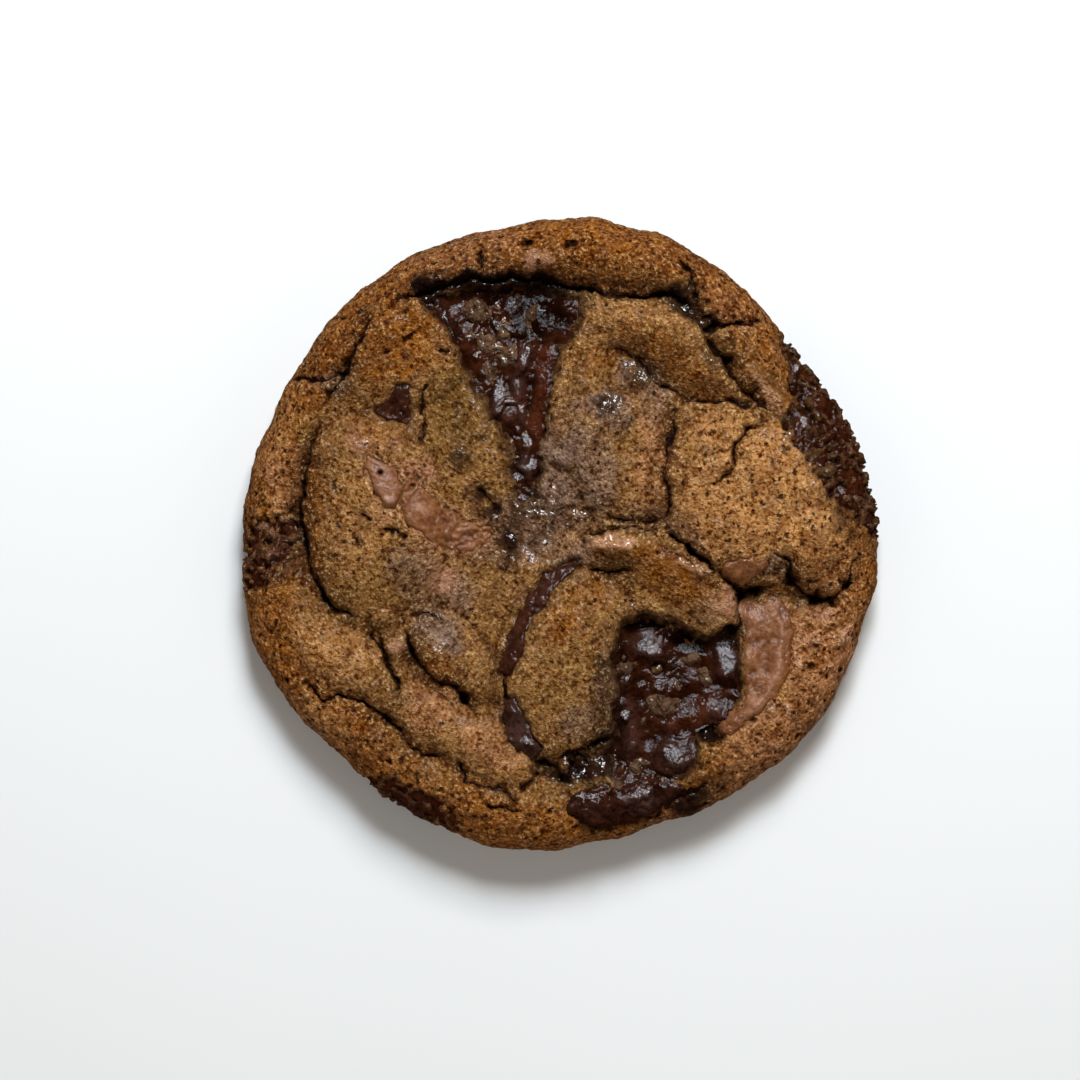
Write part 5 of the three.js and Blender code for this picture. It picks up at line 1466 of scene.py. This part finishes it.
def dough_material():
    """Baked crust: sandy golden brown, redder at the rim, grey-brown where smeared, full of pores."""
    material, n, shader = new_material("baked_dough")
    place = n.place()
    mottle = n.noise(place, CRUST_MOTTLE, 4, 0.65)
    sand = n.noise(place, CRUST_SAND, 2, 0.7)
    cells = n.add("TexVoronoi", {"Vector": n.moved(place, 2600, 0.0006), "Scale": CRUST_GRAINS})
    bodies = n.span(cells.outputs["Distance"], 0.1, 0.8, 0.24, 0.0)
    grain = n.calc("ADD", n.calc("MULTIPLY", sand, 0.8), bodies)
    colour = dough_colour(n, grain, mottle)
    # painted shade in small pores
    colour = n.mix(n.calc("MULTIPLY", pores_of(n, place), 0.92), colour, PORE_SHADE_COLOUR)
    # painted shade in the gaps of creases, cracks and holes, with a ragged sandy edge
    sandy_gap_shade = n.calc("ADD", n.mask("gap"), n.calc("MULTIPLY", n.calc("SUBTRACT", sand, 0.5), 1.1))
    colour = n.mix(n.span(sandy_gap_shade, 0.56, 0.76), colour, GAP_SHADE_COLOUR)
    n.put(shader.inputs["Base Color"], n.mix(n.mask("dark"), colour, PIT_SHADE_COLOUR))
    shader.inputs["Roughness"].default_value = 0.65
    shader.inputs["Specular IOR Level"].default_value = 0.04
    gloss = n.calc("MAXIMUM", n.mask("wet"), n.mask("sheen"))
    patches = n.span(mottle, 0.4, 0.6, 0.15, 0.9)
    glint = n.calc("MULTIPLY", gloss, patches, n.span(n.mask("rim"), 0.0, 1.0, 1.0, 0.4))
    n.put(shader.inputs["Coat Weight"], n.calc("MAXIMUM", glint, n.calc("MULTIPLY", n.mask("gleam"), 0.6)))
    shader.inputs["Coat Roughness"].default_value = 0.13
    height = n.calc("ADD", n.calc("MULTIPLY", grain, 1.2), n.calc("MULTIPLY", mottle, 0.9))
    n.put(shader.inputs["Normal"], n.bump(0.9, CRUST_BUMP, height))
    n.put(shader.inputs["Coat Normal"], n.bump(0.8, FILM_BUMP, n.noise(place, CRUST_FILM, 1)))
    return material


def chocolate_material(name, tones, dark, roughness, coat, bump_size):
    """Chocolate with its body, ruddy and grey tones, each from dark to light, the grey being bloom and partly
    painted highlight, and painted shade in its dark places.
    """
    material, n, shader = new_material(name)
    place = n.place()
    blotches = n.noise(place, CHOCOLATE_BLOTCHES, 4, 0.6)
    fine = n.noise(place, CHOCOLATE_GRAIN, 3, 0.6)
    both = n.calc("ADD", n.calc("MULTIPLY", blotches, 0.6), n.calc("MULTIPLY", fine, 0.4))
    patchy = n.span(both, 0.4, 0.6)
    body, ruddy, bloom = (n.mix(patchy, srgb(*low), srgb(*high)) for low, high in tones)
    colour = n.mix(n.calc("MULTIPLY", n.mask("ruddy"), 0.8), body, ruddy)
    colour = n.mix(n.calc("MULTIPLY", n.mask("bloom"), 0.7), colour, bloom)
    # painted shade in pinholes, deep places and between billows
    n.put(shader.inputs["Base Color"], n.mix(n.mask("dark"), colour, srgb(*dark)))
    dull = n.calc("MULTIPLY", n.mask("bloom"), 0.08)
    n.put(shader.inputs["Roughness"], n.calc("ADD", n.span(fine, 0.35, 0.7, *roughness), dull))
    shader.inputs["Specular IOR Level"].default_value = 0.13
    clear = n.calc("MULTIPLY", n.calc("SUBTRACT", 1.0, n.mask("dark")), coat)
    gleam = n.span(n.mask("gleam"), 0.25, 0.85, 0.0, 0.6)
    n.put(shader.inputs["Coat Weight"], n.calc("MAXIMUM", clear, gleam))
    shader.inputs["Coat Roughness"].default_value = 0.05
    surface = n.bump(0.6, bump_size, fine)
    n.put(shader.inputs["Normal"], surface)
    n.put(shader.inputs["Coat Normal"], surface)
    return material


# ---------------------------------------------------------------- the cookie

# Tones of each chocolate: body, ruddy, and grey, the grey being bloom and partly painted highlight.
DARK_TONES = [((28, 8, 2), (54, 23, 10)), ((52, 20, 8), (80, 38, 20)), ((42, 23, 17), (76, 53, 46))]
MILK_TONES = [((96, 52, 24), (136, 88, 54)), ((88, 46, 14), (122, 74, 32)), ((130, 86, 60), (162, 118, 92))]
finishes = {
    DARK: chocolate_material(DARK, DARK_TONES, (10, 2, 1), (0.12, 0.26), coat=0.27, bump_size=0.0004),
    MILK: chocolate_material(MILK, MILK_TONES, (36, 14, 5), (0.3, 0.5), coat=0.4, bump_size=0.0005),
}

make_dough(dough_material())
for name, piece in CHOCOLATE.items():
    make_chocolate(name, finishes[piece["kind"]])

# ---------------------------------------------------------------- floor, light and camera

FLOOR_SIZE = 3.0  # metres from the middle to each side
FLOOR_DROP = 0.0002  # metres between the underside and the floor
FLOOR_COLOURS = (srgb(226, 224, 220), srgb(232, 230, 226))
WARM_WHITE = (1.0, 0.97, 0.93)
# Square soft boxes: place and width in metres, power, colour, and whether wet surfaces mirror them.
LIGHTS = {
    "key": ((0.07, 0.40, 0.48), 0.22, 4.5, (0.955, 0.97, 1.0), True),
    "window": ((0.03, 0.385, 0.50), 0.10, 1.2, (0.55, 0.78, 1.0), True),
    "fill_left": ((-0.60, -0.38, 0.36), 0.9, 1.3, WARM_WHITE, False),
    "fill_right": ((0.50, -0.56, 0.36), 0.9, 1.6, WARM_WHITE, False),
}
PHOTO_MIDDLE = (-3.607, -1.066)  # the middle of the picture, in millimetres before the shift
EYE_HEIGHT = 0.669  # metres, which sets the framing for the lens at the height of the outline
LENS = 135  # millimetres
SENSOR = 36  # millimetres


def placed(name, data, place):
    """An object of the studio at a place in metres."""
    made = bpy.data.objects.new(name, data)
    made.location = place
    bpy.context.scene.collection.objects.link(made)
    return made


def make_floor():
    """A plain pale floor, which wet surfaces don't mirror."""
    material, n, shader = new_material("pale_floor")
    shade = n.noise(n.add("TexCoord", {}).outputs["Object"], 6, 2)
    n.put(shader.inputs["Base Color"], n.mix(shade, *FLOOR_COLOURS))
    shader.inputs["Roughness"].default_value = 0.9
    corners = [(FLOOR_SIZE * i, FLOOR_SIZE * j, 0) for i, j in ((-1, -1), (1, -1), (1, 1), (-1, 1))]
    mesh = bpy.data.meshes.new("floor")
    mesh.from_pydata(corners, [], [(0, 1, 2, 3)])
    mesh.materials.append(material)
    floor = placed("floor", mesh, (0, 0, -FLOOR_DROP))
    floor.visible_glossy = False


def make_light():
    """Soft boxes that face the cookie, and a sky that is brighter near the horizon and isn't mirrored."""
    for name, (place, size, power, colour, mirrored) in LIGHTS.items():
        light = bpy.data.lights.new(name, "AREA")
        light.size = size
        light.energy = power
        light.color = colour
        lamp = placed(name, light, place)
        lamp.rotation_euler = (-Vector(place)).to_track_quat("-Z", "Y").to_euler()
        lamp.visible_glossy = mirrored
    world = bpy.data.worlds.new("studio")
    world.use_nodes = True
    n = Nodes(world.node_tree)
    up = n.add("SeparateXYZ", {0: n.add("TexCoord", {}).outputs["Generated"]}).outputs[2]
    background = world.node_tree.nodes["Background"]
    background.inputs["Color"].default_value = (*WARM_WHITE, 1)
    n.put(background.inputs["Strength"], n.span(up, 0.45, 0.95, 0.32, 0.03))
    bpy.context.scene.world = world
    world.cycles_visibility.glossy = False


def make_camera():
    """Straight above the cookie, with a long lens, at the photograph's framing."""
    camera = bpy.data.cameras.new("camera")
    camera.lens = LENS
    camera.sensor_width = SENSOR
    place = (*((np.array(PHOTO_MIDDLE) + SHIFT) * MM), EYE_HEIGHT)
    bpy.context.scene.camera = placed("camera", camera, place)


make_floor()
make_light()
make_camera()
bpy.context.scene.view_settings.view_transform = "Standard"
